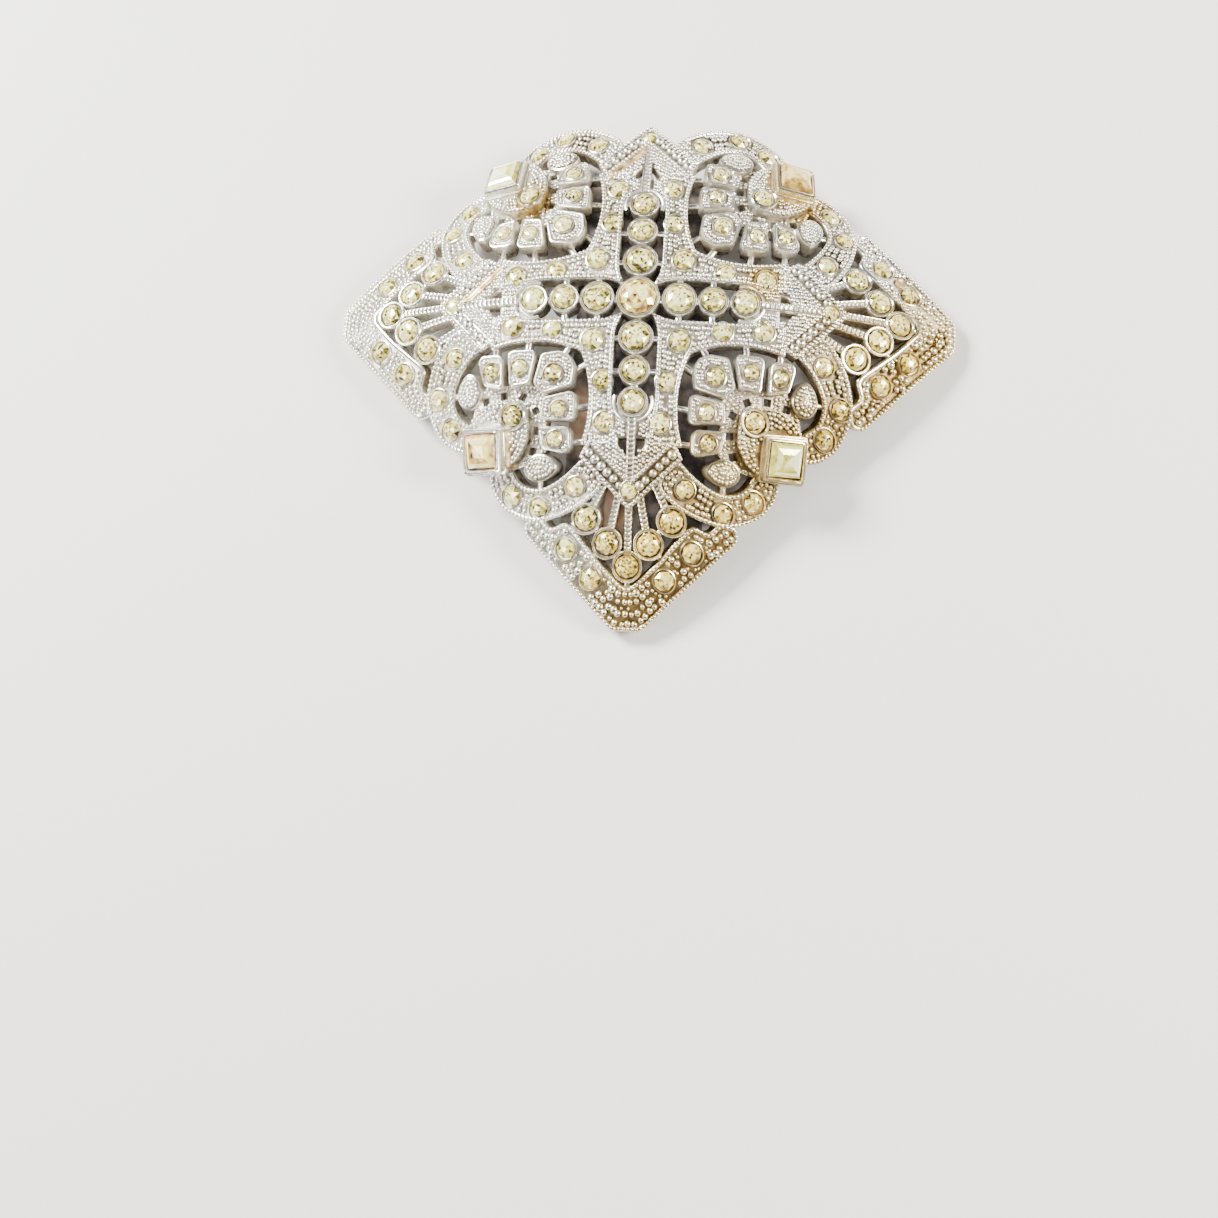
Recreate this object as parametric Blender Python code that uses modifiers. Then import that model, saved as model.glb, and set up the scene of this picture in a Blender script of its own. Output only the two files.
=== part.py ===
"""A domed, pierced dress clip in cast white metal, set with pale paste stones.

The casting is drawn flat, in millimetres, as thin shapes that overlap where they are one metal.
They are joined, the stone seats are cut, and the flat casting is then bent over a shallow dome.
Each main stone is an object of its own, turned from a profile and laid in its seat on the dome.
The spring clip behind the casting is one plain piece.

Up the clip is +Y, to its right is +X, and its face looks up, +Z.  It lies on its three fan tips.
"""

from math import cos, pi, sqrt

import bmesh
import bpy
import numpy as np
from mathutils import Matrix, Vector

MM = 0.001

# Plan sizes
ARM_REACH = 19.1            # centre to the point of an arm's chevron
TIP_REACH = 29.2            # centre to the blunt end of a fan tip
SLOT_HALF_WIDTH = 1.95      # half the slot that the row of bezels stands in
RIBBON_WAIST = 4.0          # centre line of an arm to the narrowest place of its ribbons
RIBBON_ARC = 11.6           # radius of the ribbons' hollow outer edge
SMALL_HOLE = 0.7            # side of the six square holes round each boss

# Dome
DOME_RADIUS = 60.75
QUADRANT_DROP = 1.55        # how far the dome falls below a sphere at the square settings

# Heights above the dome's surface
CAST_THICKNESS = 1.3        # surface down to the back of the casting
RIBBON_TOP = 0.0
RING_TOP = -0.08
FRAME_TOP = -0.04
CHEVRON_TOP = 0.12
COLLAR_TOP = -0.15
BAR_TOP = -0.12
LEAF_TOP = 0.5
PETAL_TOP = 0.9
BOSS_TOP = 0.82
BOX_BASE_TOP = 0.97
BOX_TOP = 1.62
RIM_WIDTH = 0.42            # raised edges round ribbons, rings, frames and chevrons
RIM_HEIGHT = 0.26

# Bars
NECK_WIDTH = 0.66
BRIDGE_WIDTH = 0.5
STEM_WIDTH = 0.68
ARM_STEM_WIDTH = 0.76

# Stones and settings
CENTRE_STONE = 1.65         # radii
FIRST_CROSS_STONE = 1.27
SECOND_CROSS_STONE = 1.07
THIRD_CROSS_STONE = 1.05
FAN_STONE = 1.05
BOSS_STONE = 0.92
SQUARE_STONE = 2.95         # side
SETTING_BOX = 3.95          # side
BOX_STEP = 0.2              # how far the foot of the box stands out
SEAT_GAP = 0.08             # clear space between a stone and its seat
BEZEL_WALL = 0.26
BEZEL_LIP = 0.1             # how far a bezel's edge stands above the stone's girdle
CENTRE_BEZEL_TOP = 0.6
CROSS_BEZEL_TOP = 0.4
FAN_BEZEL_TOP = 0.3
BOSS_BEZEL_TOP = 1.15
BEZEL_SIDES = 10
STONE_SIDES = 8
GIRDLE = 0.12
TABLE_SHARE = 0.56          # of a stone's radius
CROWN_SHARE = 0.34
PAVILION_SHARE = 0.58
SQUARE_CROWN_STEP = 0.8     # share of the half side at the upper step of a square stone
PAVE_RISE = 0.4             # set stones' tables above the metal round them
PAVE_SINK = 0.3

# Spring clip
LEAF_WIDTH = 13.0
LEAF_THICKNESS = 0.7
LEAF_SLOT_WIDTH = 1.3
LEAF_SLOT_LENGTH = 5.5
LEAF_SLOTS = 3
ROLL_RADIUS = 1.35          # middle of the metal at the rolled end
ROLL_STEPS = 6
CLIP_GAP = 0.2              # clear space between the clip and the casting's back
CLIP_SHARES = {"roll": 0.66, "foot": 0.16, "flat_start": 0.1, "flat_end": -0.55, "grip": -1.08}
LEAF_BOW = 1.1              # how far the leaf's flat lies below its rolled end

PERCENT = ARM_REACH / 100
DROP_PLACE = 69.5 * PERCENT

# Plan tables.  u runs out along an arm and v across it, both in hundredths of ARM_REACH.
SQUARE_PLACE = 69.5
CORNER_PLACE = 20.6
MIDDLE_PETAL_PLACE = 37.6
BOSS_PLACE = 56.0
APEX_PLACE = 91.0
CROSS_PLACES = (19.5, 35.5, 50.5)

RING_OUTLINE = (
    (84, 13.5), (90, 12.5), (96, 20), (101, 29), (104, 42), (102.5, 51.5), (97.5, 61.5),
    (89, 68.5), (78.5, 71), (78, 58.5), (83.5, 55.5), (87.5, 51.5), (89.5, 44), (87, 36.5),
    (82.5, 29.5), (74.5, 21.5),
)
RIBBON_INNER_EDGE = ((6.5, 6.5), (13, 9.4), (17.5, None), (49, None), (67, 7.8))
RIBBON_END = (70.5, 9)
RIBBON_ARC_POINTS = 5
CHEVRON_OUTLINE = ((100, 0), (75.5, 24.5), (67, 19.5), (86.5, 0))
ARM_END_OUTLINE = ((100, 0), (75.5, 24.5), (69, 20.7), (66.5, 8.5), (70, 8.5), (75.5, 5.6), (81, 2.6))
ARM_END_BLOCK = ((50.5, 11), (67.8, 7.6))
LEAF_OUTLINE = (
    (81, 34), (76.5, 36.5), (74.8, 45.5), (78, 50.5), (82.5, 50.5), (86, 45), (84.5, 38.5),
)
OUTER_PETAL = ((62, 29.5), (64.5, 27.5), (72.5, 27.5), (74.5, 30), (71.5, 41), (61.5, 43.5))
INNER_PETAL = ((46, 28.5), (47.5, 26), (58, 26), (60, 27.5), (58.5, 43), (48.5, 42))
MIDDLE_PETAL_HALF = ((47, 42), (43.5, 28), (34.5, 27), (29.5, 29.5))
COLLAR_HALF = ((80, 59), (78.5, 52.5), (76.5, 46), (71, 39.8), (62, 41.2), (47.5, 41), (43.5, 43.5))
BOSS_HALF = ((79, 59.5), (75, 53), (67, 48.8), (59.5, 48.8), (54, 50.5))
SMALL_HOLES = ((72.2, 47.8), (63, 45.9), (53.5, 46.9))

# columns: u, v and radius in hundredths of ARM_REACH, height of the metal round the stone
SET_STONES = (
    (40.5, 15, 4.6, RIBBON_TOP),
    (60, 13, 4.8, RIBBON_TOP),
    (89, 26, 4.4, RING_TOP),
    (97.5, 44, 4.6, RING_TOP),
    (90.5, 58, 4.8, RING_TOP),
    (54, 34, 3.7, PETAL_TOP),
    (67.5, 35, 3.8, PETAL_TOP),
)
CORNER_STONE = 0.98
MIDDLE_PETAL_STONE = 0.82
APEX_STONE = 0.76
FRAME_STONE = 0.92

# Fan tables.  along is the share of the way from ARM_REACH to TIP_REACH; v as above.
FRAME_OUTLINE = (
    (1.0, 7.5), (0.178, 51), (0.119, 51.5), (0.04, 50.5), (0.03, 42), (0.109, 39), (0.129, 37),
    (0.084, 30.5), (0.124, 27), (0.406, 14.5), (0.51, 9), (0.634, 1.5),
)
FAN_PLACES = ((0.463, 0), (0.274, 9.75), (0.068, 20.1))
STEM_ROOTS = ((97, 0), (93, 5), (87, 11.5))
FRAME_STONES = ((0.31, 30), (0.565, 17.5))

# Bars from petals and leaves to the metal round them: u, v of both ends
PETAL_BRIDGES = ((35.5, 29, 31, 22), (53, 28, 52, 19.5), (69, 29, 68.5, 21), (84, 44, 91, 44))

ARMS = ("right", "top", "left", "bottom")
FAN_ARMS = ("right", "left", "bottom")
QUADRANTS = ("upper_right", "upper_left", "lower_left", "lower_right")
LONGEST_EDGE = 7.0          # longer edges get a point in the middle, to follow the dome
SPARE_DEPTH = 1.0           # shapes start this far below the back, which is then cut level
SHARED_AXIS = 1e-6


def arm_plan(rows):
    """Points of a plan table in millimetres."""
    return np.array(rows, float) * PERCENT


def fan_plan(rows):
    """Points of a fan table in millimetres."""
    rows = np.array(rows, float)
    along = ARM_REACH + rows[:, 0] * (TIP_REACH - ARM_REACH)
    return np.stack([along, rows[:, 1] * PERCENT], axis=1)


def across_arm(points):
    """The same points on the other side of the arm's centre line, in turning order."""
    return points[::-1] * (1, -1)


def across_diagonal(points):
    """The same points on the other side of the quadrant's diagonal, in turning order."""
    return points[::-1, ::-1]


def turned(points, quarter_turns):
    """The points turned about the centre, anticlockwise."""
    for _ in range(quarter_turns):
        points = np.stack([-points[:, 1], points[:, 0]], axis=1)
    return points


def circle(centre, radius, sides):
    """A polygon whose sides touch the circle from outside."""
    angles = 2 * pi * (np.arange(sides) + 0.5) / sides
    corner = radius / cos(pi / sides)
    return np.stack([centre[0] + corner * np.cos(angles), centre[1] + corner * np.sin(angles)], axis=1)


def square(centre, side):
    half = side / 2
    corners = np.array([(-half, -half), (half, -half), (half, half), (-half, half)])
    return corners + centre


def leaning_square(centre, side):
    """Plan of a square that lies on the dome, so it looks shorter up and down the slope."""
    _, normal = dome(*np.array(centre, float))
    down_slope = normal[:2] / np.linalg.norm(normal[:2])
    corners = square((0, 0), side)
    return corners - np.outer(corners @ down_slope, down_slope) * (1 - normal[2]) + centre


def bar(start, end, width):
    """A straight bar between two points."""
    start, end = np.array(start, float), np.array(end, float)
    ahead = (end - start) / np.linalg.norm(end - start)
    aside = np.array([-ahead[1], ahead[0]]) * width / 2
    return np.array([start - aside, end - aside, end + aside, start + aside])


def anticlockwise(points):
    ahead = np.roll(points, -1, axis=0)
    area = np.sum(points[:, 0] * ahead[:, 1] - ahead[:, 0] * points[:, 1])
    return points if area > 0 else points[::-1]


def inset(points, width):
    """The outline with each edge moved inwards, and neighbours meeting in new corners."""
    points = anticlockwise(points)
    ahead = np.roll(points, -1, axis=0) - points
    ahead /= np.linalg.norm(ahead, axis=1)[:, None]
    inward = np.stack([-ahead[:, 1], ahead[:, 0]], axis=1)
    before = np.roll(inward, 1, axis=0)
    share = 1 + np.sum(inward * before, axis=1)
    return points + (inward + before) * (width / share)[:, None]


def dome(x, y):
    """Height of the dome at x, y, and its unit normal."""
    below = np.sqrt(DOME_RADIUS**2 - x**2 - y**2)
    drop = QUADRANT_DROP * (x * y / DROP_PLACE**2) ** 2
    slope = 2 * QUADRANT_DROP * x * y / DROP_PLACE**4
    normal = np.stack([x / below + slope * y, y / below + slope * x, np.ones_like(x)], axis=-1)
    normal /= np.linalg.norm(normal, axis=-1, keepdims=True)
    return below - DOME_RADIUS - drop, normal


def on_dome(x, y, height):
    """A point of the flat drawing, carried onto the dome."""
    level, normal = dome(x, y)
    return np.stack([x, y, level], axis=-1) + normal * np.expand_dims(height, -1)


def material(name, colour, metallic, roughness):
    made = bpy.data.materials.new(name)
    made.use_nodes = True
    shader = made.node_tree.nodes["Principled BSDF"]
    shader.inputs["Base Color"].default_value = (*colour, 1)
    shader.inputs["Metallic"].default_value = metallic
    shader.inputs["Roughness"].default_value = roughness
    return made


def place_object(name, data, collection):
    made = bpy.data.objects.new(name, data)
    collection.objects.link(made)
    return made


def evaluated_mesh(shape):
    """The object's mesh with its modifiers applied, in its own units, with doubled points joined."""
    graph = bpy.context.evaluated_depsgraph_get()
    mesh = bpy.data.meshes.new_from_object(shape.evaluated_get(graph))
    work = bmesh.new()
    work.from_mesh(mesh)
    bmesh.ops.remove_doubles(work, verts=work.verts, dist=1e-5)
    bmesh.ops.recalc_face_normals(work, faces=work.faces)
    work.to_mesh(mesh)
    work.free()
    return mesh


def flat_shape(name, outlines, bottom, top, collection):
    """Flat outlines given a thickness.  An outline inside another is a hole in it."""
    curve = bpy.data.curves.new(name, "CURVE")
    curve.dimensions = "2D"
    curve.fill_mode = "BOTH"
    curve.extrude = (top - bottom) / 2
    for points in outlines:
        spline = curve.splines.new("POLY")
        spline.points.add(len(points) - 1)
        spline.use_cyclic_u = True
        for point, (x, y) in zip(spline.points, points):
            point.co = (x, y, 0, 1)
    drawn = place_object(name, curve, collection)
    mesh = evaluated_mesh(drawn)
    bpy.data.objects.remove(drawn)
    mesh.transform(Matrix.Translation((0, 0, (top + bottom) / 2)))
    shape = place_object(name, mesh, collection)
    shape.hide_render = True
    shape.display_type = "WIRE"
    return shape


def full_depth(name, outlines, top, collection):
    """A shape of the casting, from below its back up to its own top."""
    return flat_shape(name, outlines, -CAST_THICKNESS - SPARE_DEPTH, top, collection)


def edge(name, outlines, holes, top, collection):
    """A raised edge on a plate whose surface is at top."""
    flat_shape(name, outlines + holes, top - PAVE_SINK, top + RIM_HEIGHT, collection)


def rimmed(name, outlines, top, collection):
    """A plate with a raised edge."""
    full_depth(name, outlines, top, collection)
    edge(name + "_rim", outlines, [inset(outline, RIM_WIDTH) for outline in outlines], top, collection)


def ribbon_outline():
    """The L-shaped ribbon of a quadrant: it runs along two arms and turns at the corner stone."""
    inner = arm_plan([(u, 0 if v is None else v) for u, v in RIBBON_INNER_EDGE])
    straight = [v is None for _, v in RIBBON_INNER_EDGE]
    inner[straight, 1] = SLOT_HALF_WIDTH
    waist_at = CROSS_PLACES[-1] * PERCENT
    end = np.array(RIBBON_END) * PERCENT
    centre = RIBBON_WAIST + RIBBON_ARC
    # where the hollow edge crosses the diagonal
    half_sum = (waist_at + centre) / 2
    corner = half_sum - sqrt(half_sum**2 - (waist_at**2 + centre**2 - RIBBON_ARC**2) / 2)
    along = np.linspace(end[0], corner, RIBBON_ARC_POINTS)
    outer = np.stack([along, centre - np.sqrt(RIBBON_ARC**2 - (along - waist_at) ** 2)], axis=1)
    half = np.vstack([inner, end[None], outer])
    return np.vstack([half, across_diagonal(half)[1:-1]])


def arm_shape(rows):
    """An outline given on one side of an arm, closed by its mirror image."""
    half = arm_plan(rows)
    on_line = np.abs(half[:, 1]) < SHARED_AXIS
    return np.vstack([half, across_arm(half)[~on_line[::-1]]])


def quadrant_shape(rows):
    """An outline given on one side of a quadrant's diagonal, closed by its mirror image."""
    half = arm_plan(rows)
    on_line = np.abs(half[:, 0] - half[:, 1]) < SHARED_AXIS
    return np.vstack([half, across_diagonal(half)[~on_line[::-1]]])


def both_sides(outline):
    """The outline and its mirror image, on all four arms."""
    return [turned(side, k) for k in range(4) for side in (outline, across_arm(outline))]


def on_arms(outline, arms=ARMS):
    return [turned(outline, ARMS.index(name)) for name in arms]


def fan_sides(outline):
    return [turned(side, ARMS.index(name)) for name in FAN_ARMS for side in (outline, across_arm(outline))]


def fan_points():
    """Plan places of the five stones of a fan, from one side to the other."""
    half = fan_plan(FAN_PLACES)
    return np.vstack([half[::-1], half[1:] * (1, -1)])


def seat_radius(stone):
    return stone + SEAT_GAP


def bezel(centre, stone):
    return circle(centre, seat_radius(stone) + BEZEL_WALL, BEZEL_SIDES)


def seat_floor(stone, top, share=PAVILION_SHARE):
    return top - BEZEL_LIP - GIRDLE - share * stone - SEAT_GAP


def casting_shapes(shapes):
    """All the metal of the casting, drawn flat."""
    rimmed("ribbons", [turned(ribbon_outline(), k) for k in range(4)], RIBBON_TOP, shapes)
    rimmed("rings", both_sides(arm_plan(RING_OUTLINE)), RING_TOP, shapes)
    full_depth("arm_ends", on_arms(arm_shape(ARM_END_OUTLINE)), CHEVRON_TOP, shapes)
    chevron = arm_shape(CHEVRON_OUTLINE)
    edge("chevrons_rim", on_arms(chevron), on_arms(inset(chevron, RIM_WIDTH)), CHEVRON_TOP, shapes)
    full_depth("arm_blocks", on_arms(arm_shape(ARM_END_BLOCK)), CHEVRON_TOP - 0.1, shapes)
    arm_stem = bar(arm_plan([(58, 0)])[0], arm_plan([(88, 0)])[0], ARM_STEM_WIDTH)
    full_depth("arm_stems", on_arms(arm_stem), CHEVRON_TOP + 0.1, shapes)

    frame = fan_plan(FRAME_OUTLINE)
    full_depth("frames", on_arms(np.vstack([frame, across_arm(frame)]), FAN_ARMS), FRAME_TOP, shapes)
    tip_side = frame[1::-1]
    outside = np.vstack([tip_side, across_arm(tip_side)])
    strip = np.vstack([outside, inset(outside, RIM_WIDTH)])
    edge("frames_rim", on_arms(strip, FAN_ARMS), [], FRAME_TOP, shapes)

    full_depth("collars", on_arms(quadrant_shape(COLLAR_HALF)), COLLAR_TOP, shapes)
    full_depth("leaves", both_sides(arm_plan(LEAF_OUTLINE)), LEAF_TOP, shapes)
    full_depth("outer_petals", both_sides(arm_plan(OUTER_PETAL)), PETAL_TOP, shapes)
    full_depth("inner_petals", both_sides(arm_plan(INNER_PETAL)), PETAL_TOP, shapes)
    full_depth("middle_petals", on_arms(quadrant_shape(MIDDLE_PETAL_HALF)), PETAL_TOP, shapes)
    full_depth("bosses", on_arms(quadrant_shape(BOSS_HALF)), BOSS_TOP, shapes)
    box_at = arm_plan([(SQUARE_PLACE, SQUARE_PLACE)])[0]
    foot = leaning_square(box_at, SETTING_BOX + 2 * BOX_STEP)
    full_depth("box_feet", on_arms(foot), BOX_BASE_TOP, shapes)
    full_depth("boxes", on_arms(leaning_square(box_at, SETTING_BOX)), BOX_TOP, shapes)


def casting_bars(shapes):
    """The thin bars that tie the pierced casting together."""
    row_end = CROSS_PLACES[-1] * PERCENT
    for k, name in enumerate(("level", "upright")):
        spine = turned(bar((-row_end, 0), (row_end, 0), NECK_WIDTH), k)
        full_depth("spine_" + name, [spine], BAR_TOP - 0.02 * k, shapes)
    reach_across = SLOT_HALF_WIDTH + RIM_WIDTH / 2
    rungs = [
        bar((place * PERCENT, -reach_across), (place * PERCENT, reach_across), BRIDGE_WIDTH)
        for place in CROSS_PLACES[:2]
    ]
    full_depth("rungs", [turned(rung, k) for rung in rungs for k in range(4)], BAR_TOP - 0.05, shapes)
    bridges = [arm_plan([(a, b), (c, d)]) for a, b, c, d in PETAL_BRIDGES]
    bridges = [bar(start, end, BRIDGE_WIDTH) for start, end in bridges]
    outlines = [side for bridge in bridges for side in both_sides(bridge)]
    full_depth("petal_bridges", outlines, BAR_TOP - 0.08, shapes)

    stones = fan_points()
    roots = arm_plan(STEM_ROOTS)
    roots = np.vstack([roots[::-1], roots[1:] * (1, -1)])
    stems = [bar(root, stone, STEM_WIDTH) for root, stone in zip(roots, stones)]
    full_depth("stems", [turned(stem, ARMS.index(arm)) for arm in FAN_ARMS for stem in stems],
               BAR_TOP + 0.2, shapes)
    pairs = (stones[:2], stones[-2:])
    links = [bar(a + 0.3 * (b - a), a + 0.7 * (b - a), BRIDGE_WIDTH) for a, b in pairs]
    full_depth("links", [turned(link, ARMS.index(arm)) for arm in FAN_ARMS for link in links],
               BAR_TOP - 0.03, shapes)
    nubs = []
    for stone, lean in zip(stones, (1, 1, 0, -1, -1)):
        ahead = np.array([1, lean]) / sqrt(1 + lean**2)
        nubs.append(bar(stone + ahead * FAN_STONE, stone + ahead * (FAN_STONE + 1.2), BRIDGE_WIDTH))
    full_depth("nubs", [turned(nub, ARMS.index(arm)) for arm in FAN_ARMS for nub in nubs],
               BAR_TOP - 0.06, shapes)


def round_settings():
    """Every stone that is an object of its own: name, plan place, radius, top of its bezel."""
    rows = [("centre_stone", np.zeros(2), CENTRE_STONE, CENTRE_BEZEL_TOP)]
    radii = (FIRST_CROSS_STONE, SECOND_CROSS_STONE, THIRD_CROSS_STONE)
    for k, arm in enumerate(ARMS):
        for number, (place, radius) in enumerate(zip(CROSS_PLACES, radii), 1):
            at = turned(arm_plan([(place, 0)]), k)[0]
            rows.append((f"cross_stone_{arm}_{number}", at, radius, CROSS_BEZEL_TOP))
    for arm in FAN_ARMS:
        for number, at in enumerate(turned(fan_points(), ARMS.index(arm)), 1):
            rows.append((f"fan_stone_{arm}_{number}", at, FAN_STONE, FAN_BEZEL_TOP))
    for k, quadrant in enumerate(QUADRANTS):
        at = turned(arm_plan([(BOSS_PLACE, BOSS_PLACE)]), k)[0]
        rows.append((f"boss_stone_{quadrant}", at, BOSS_STONE, BOSS_BEZEL_TOP))
    return rows


def bezel_shapes(shapes):
    """Bezels, a few at a time, because those of one shape must not overlap."""
    groups = {}
    for name, at, radius, top in round_settings():
        key = (name.split("_")[0], name[-1] if name[-1].isdigit() else "", top)
        groups.setdefault(key, []).append(bezel(at, radius))
    for number, ((kind, mark, top), outlines) in enumerate(groups.items()):
        full_depth(f"{kind}_bezels_{mark}", outlines, top, shapes)


def seat_cutters(cutters):
    """The hollows that the separate stones lie in, and the holes round the bosses."""
    for name, at, radius, top in round_settings():
        hollow = circle(at, seat_radius(radius), STONE_SIDES)
        flat_shape(name + "_seat", [hollow], seat_floor(radius, top), top + SPARE_DEPTH, cutters)
    box_at = arm_plan([(SQUARE_PLACE, SQUARE_PLACE)])[0]
    hollow = leaning_square(box_at, SQUARE_STONE + 2 * SEAT_GAP)
    floor = seat_floor(SQUARE_STONE / 2, BOX_TOP)
    flat_shape("square_seats", on_arms(hollow), floor, BOX_TOP + SPARE_DEPTH, cutters)
    holes = [side for at in arm_plan(SMALL_HOLES) for side in both_sides(square(at, SMALL_HOLE))]
    depth = CAST_THICKNESS + 2 * SPARE_DEPTH
    flat_shape("small_holes", holes, -depth, PETAL_TOP + SPARE_DEPTH, cutters)


def set_stone_places():
    """The stones that are set in the casting itself: plan place, radius, height of the metal."""
    rows = []
    for u, v, radius, height in SET_STONES:
        for side in both_sides(arm_plan([(u, v)])):
            rows.append((side[0], radius * PERCENT, height))
    for k in range(4):
        rows.append((turned(arm_plan([(CORNER_PLACE,) * 2]), k)[0], CORNER_STONE, RIBBON_TOP))
        petal = turned(arm_plan([(MIDDLE_PETAL_PLACE,) * 2]), k)[0]
        rows.append((petal, MIDDLE_PETAL_STONE, PETAL_TOP))
        rows.append((turned(arm_plan([(APEX_PLACE, 0)]), k)[0], APEX_STONE, CHEVRON_TOP))
    for place in fan_plan(FRAME_STONES):
        for side in fan_sides(place[None]):
            rows.append((side[0], FRAME_STONE, FRAME_TOP))
    return rows


def set_stones(shapes):
    """Crowns with eight facets and a table, standing up out of the metal."""
    work = bmesh.new()
    for at, radius, height in set_stone_places():
        bottom, top = height - PAVE_SINK, height + PAVE_RISE
        bmesh.ops.create_cone(
            work, cap_ends=True, segments=STONE_SIDES, radius1=radius, radius2=radius * TABLE_SHARE,
            depth=top - bottom, matrix=Matrix.Translation((at[0], at[1], (top + bottom) / 2)),
        )
    mesh = bpy.data.meshes.new("set_stones")
    work.to_mesh(mesh)
    work.free()
    shape = place_object("set_stones", mesh, shapes)
    shape.hide_render = True
    shape.display_type = "WIRE"


def run_boolean(target, operation, operand):
    """Joins or cuts, and keeps the result as the target's own mesh."""
    step = target.modifiers.new(operation.lower(), "BOOLEAN")
    step.operation = operation
    step.solver = "EXACT"
    step.use_self = True
    if isinstance(operand, bpy.types.Collection):
        step.operand_type = "COLLECTION"
        step.collection = operand
    else:
        step.object = operand
    mesh = evaluated_mesh(target)
    target.modifiers.clear()
    target.data = mesh


def bend_over_dome(mesh):
    """Carries a flat mesh in millimetres onto the dome, in metres."""
    work = bmesh.new()
    work.from_mesh(mesh)
    bmesh.ops.dissolve_limit(work, angle_limit=1e-3, verts=work.verts, edges=work.edges)
    long_edges = [edge for edge in work.edges if edge.calc_length() > LONGEST_EDGE]
    bmesh.ops.subdivide_edges(work, edges=long_edges, cuts=1)
    bmesh.ops.triangulate(work, faces=work.faces)
    work.to_mesh(mesh)
    work.free()
    flat = np.empty(3 * len(mesh.vertices))
    mesh.vertices.foreach_get("co", flat)
    flat = flat.reshape(-1, 3)
    mesh.vertices.foreach_set("co", (on_dome(*flat.T) * MM).ravel())
    mesh.update()


def make_casting(parts, shapes, cutters, metal):
    """The whole casting as one body."""
    casting_shapes(shapes)
    casting_bars(shapes)
    bezel_shapes(shapes)
    set_stones(shapes)
    start = bpy.data.objects["ribbons"]
    shapes.objects.unlink(start)
    parts.objects.link(start)
    run_boolean(start, "UNION", shapes)
    back = [square((0, 0), 2.5 * TIP_REACH)]
    deepest = -CAST_THICKNESS - 2 * SPARE_DEPTH
    back_level = flat_shape("back_level", back, deepest, -CAST_THICKNESS, cutters)
    run_boolean(start, "DIFFERENCE", back_level)
    bpy.data.objects.remove(back_level)
    seat_cutters(cutters)
    run_boolean(start, "DIFFERENCE", cutters)
    mesh = start.data
    bpy.data.objects.remove(start)
    bend_over_dome(mesh)
    mesh.materials.clear()
    mesh.materials.append(metal)
    return place_object("casting", mesh, parts)


def stone_mesh(name, profile, steps, glass):
    """A cut stone's profile, from the table's middle down to the culet, as a line of edges."""
    points = [(radius * MM, 0, height * MM) for radius, height in profile]
    mesh = bpy.data.meshes.new(name)
    mesh.from_pydata(points, [(i, i + 1) for i in range(len(points) - 1)], [])
    mesh.materials.append(glass)
    mesh["steps"] = steps
    return mesh


def round_stone_profile(radius):
    crown, pavilion = CROWN_SHARE * radius, PAVILION_SHARE * radius
    return ((0, crown), (TABLE_SHARE * radius, crown), (radius, 0), (radius, -GIRDLE), (0, -GIRDLE - pavilion))


def square_stone_profile(side):
    half = side / 2
    corner = half * sqrt(2)
    crown, pavilion = CROWN_SHARE * half, PAVILION_SHARE * half
    return (
        (0, crown), (TABLE_SHARE * corner, crown), (SQUARE_CROWN_STEP * corner, 0.7 * crown),
        (corner, 0), (corner, -GIRDLE), (0, -GIRDLE - pavilion),
    )


def seat_matrix(at, height, turn=0.0):
    """Where a stone lies: on the dome at a plan place, with its table square to the dome."""
    x, y = float(at[0]), float(at[1])
    _, normal = dome(np.array(x), np.array(y))
    frame = Vector((0, 0, 1)).rotation_difference(Vector(normal)).to_matrix().to_4x4()
    place = Matrix.Translation(Vector(on_dome(np.array(x), np.array(y), height)) * MM)
    return place @ frame @ Matrix.Rotation(turn, 4, "Z")


def turn_profile(stone, steps):
    """A Screw modifier that turns the stone's profile into flat facets."""
    screw = stone.modifiers.new("facets", "SCREW")
    screw.steps = steps
    screw.render_steps = steps
    screw.use_merge_vertices = True
    screw.merge_threshold = SHARED_AXIS


def make_stones(parts, glass):
    meshes = {}
    for name, at, radius, top in round_settings():
        if radius not in meshes:
            meshes[radius] = stone_mesh("round_stone", round_stone_profile(radius), STONE_SIDES, glass)
        stone = place_object(name, meshes[radius], parts)
        stone.matrix_world = seat_matrix(at, top - BEZEL_LIP)
        turn_profile(stone, STONE_SIDES)
    square_mesh = stone_mesh("square_stone", square_stone_profile(SQUARE_STONE), 4, glass)
    for k, quadrant in enumerate(QUADRANTS):
        at = turned(arm_plan([(SQUARE_PLACE, SQUARE_PLACE)]), k)[0]
        stone = place_object(f"square_stone_{quadrant}", square_mesh, parts)
        stone.matrix_world = seat_matrix(at, BOX_TOP - BEZEL_LIP, pi / 4)
        turn_profile(stone, 4)


def clip_profile():
    """The middle line of the spring clip's side view, as y and z, from its foot to its grip end."""
    def under_casting(y, x=0.0):
        """Height just clear of the casting's back, at y and x off the centre line."""
        back = on_dome(np.array(x), np.array(y), -CAST_THICKNESS)
        return float(back[2]) - CLIP_GAP - LEAF_THICKNESS / 2

    place = {name: share * ARM_REACH for name, share in CLIP_SHARES.items()}
    edge = LEAF_WIDTH / 2
    foot = (place["foot"], under_casting(place["foot"], edge))
    bend = (place["roll"], under_casting(place["roll"], edge))
    angles = np.linspace(pi / 2, -pi / 2, ROLL_STEPS + 1)[1:]
    roll = [(bend[0] + ROLL_RADIUS * cos(a), bend[1] + ROLL_RADIUS * (np.sin(a) - 1)) for a in angles]
    flat = roll[-1][1] - LEAF_BOW
    grip_top = under_casting(place["grip"], edge)
    return [foot, bend, *roll, (place["flat_start"], flat), (place["flat_end"], flat),
            (place["grip"] + 2 * LEAF_THICKNESS, 0.35 * flat + 0.65 * grip_top), (place["grip"], grip_top)]


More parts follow.
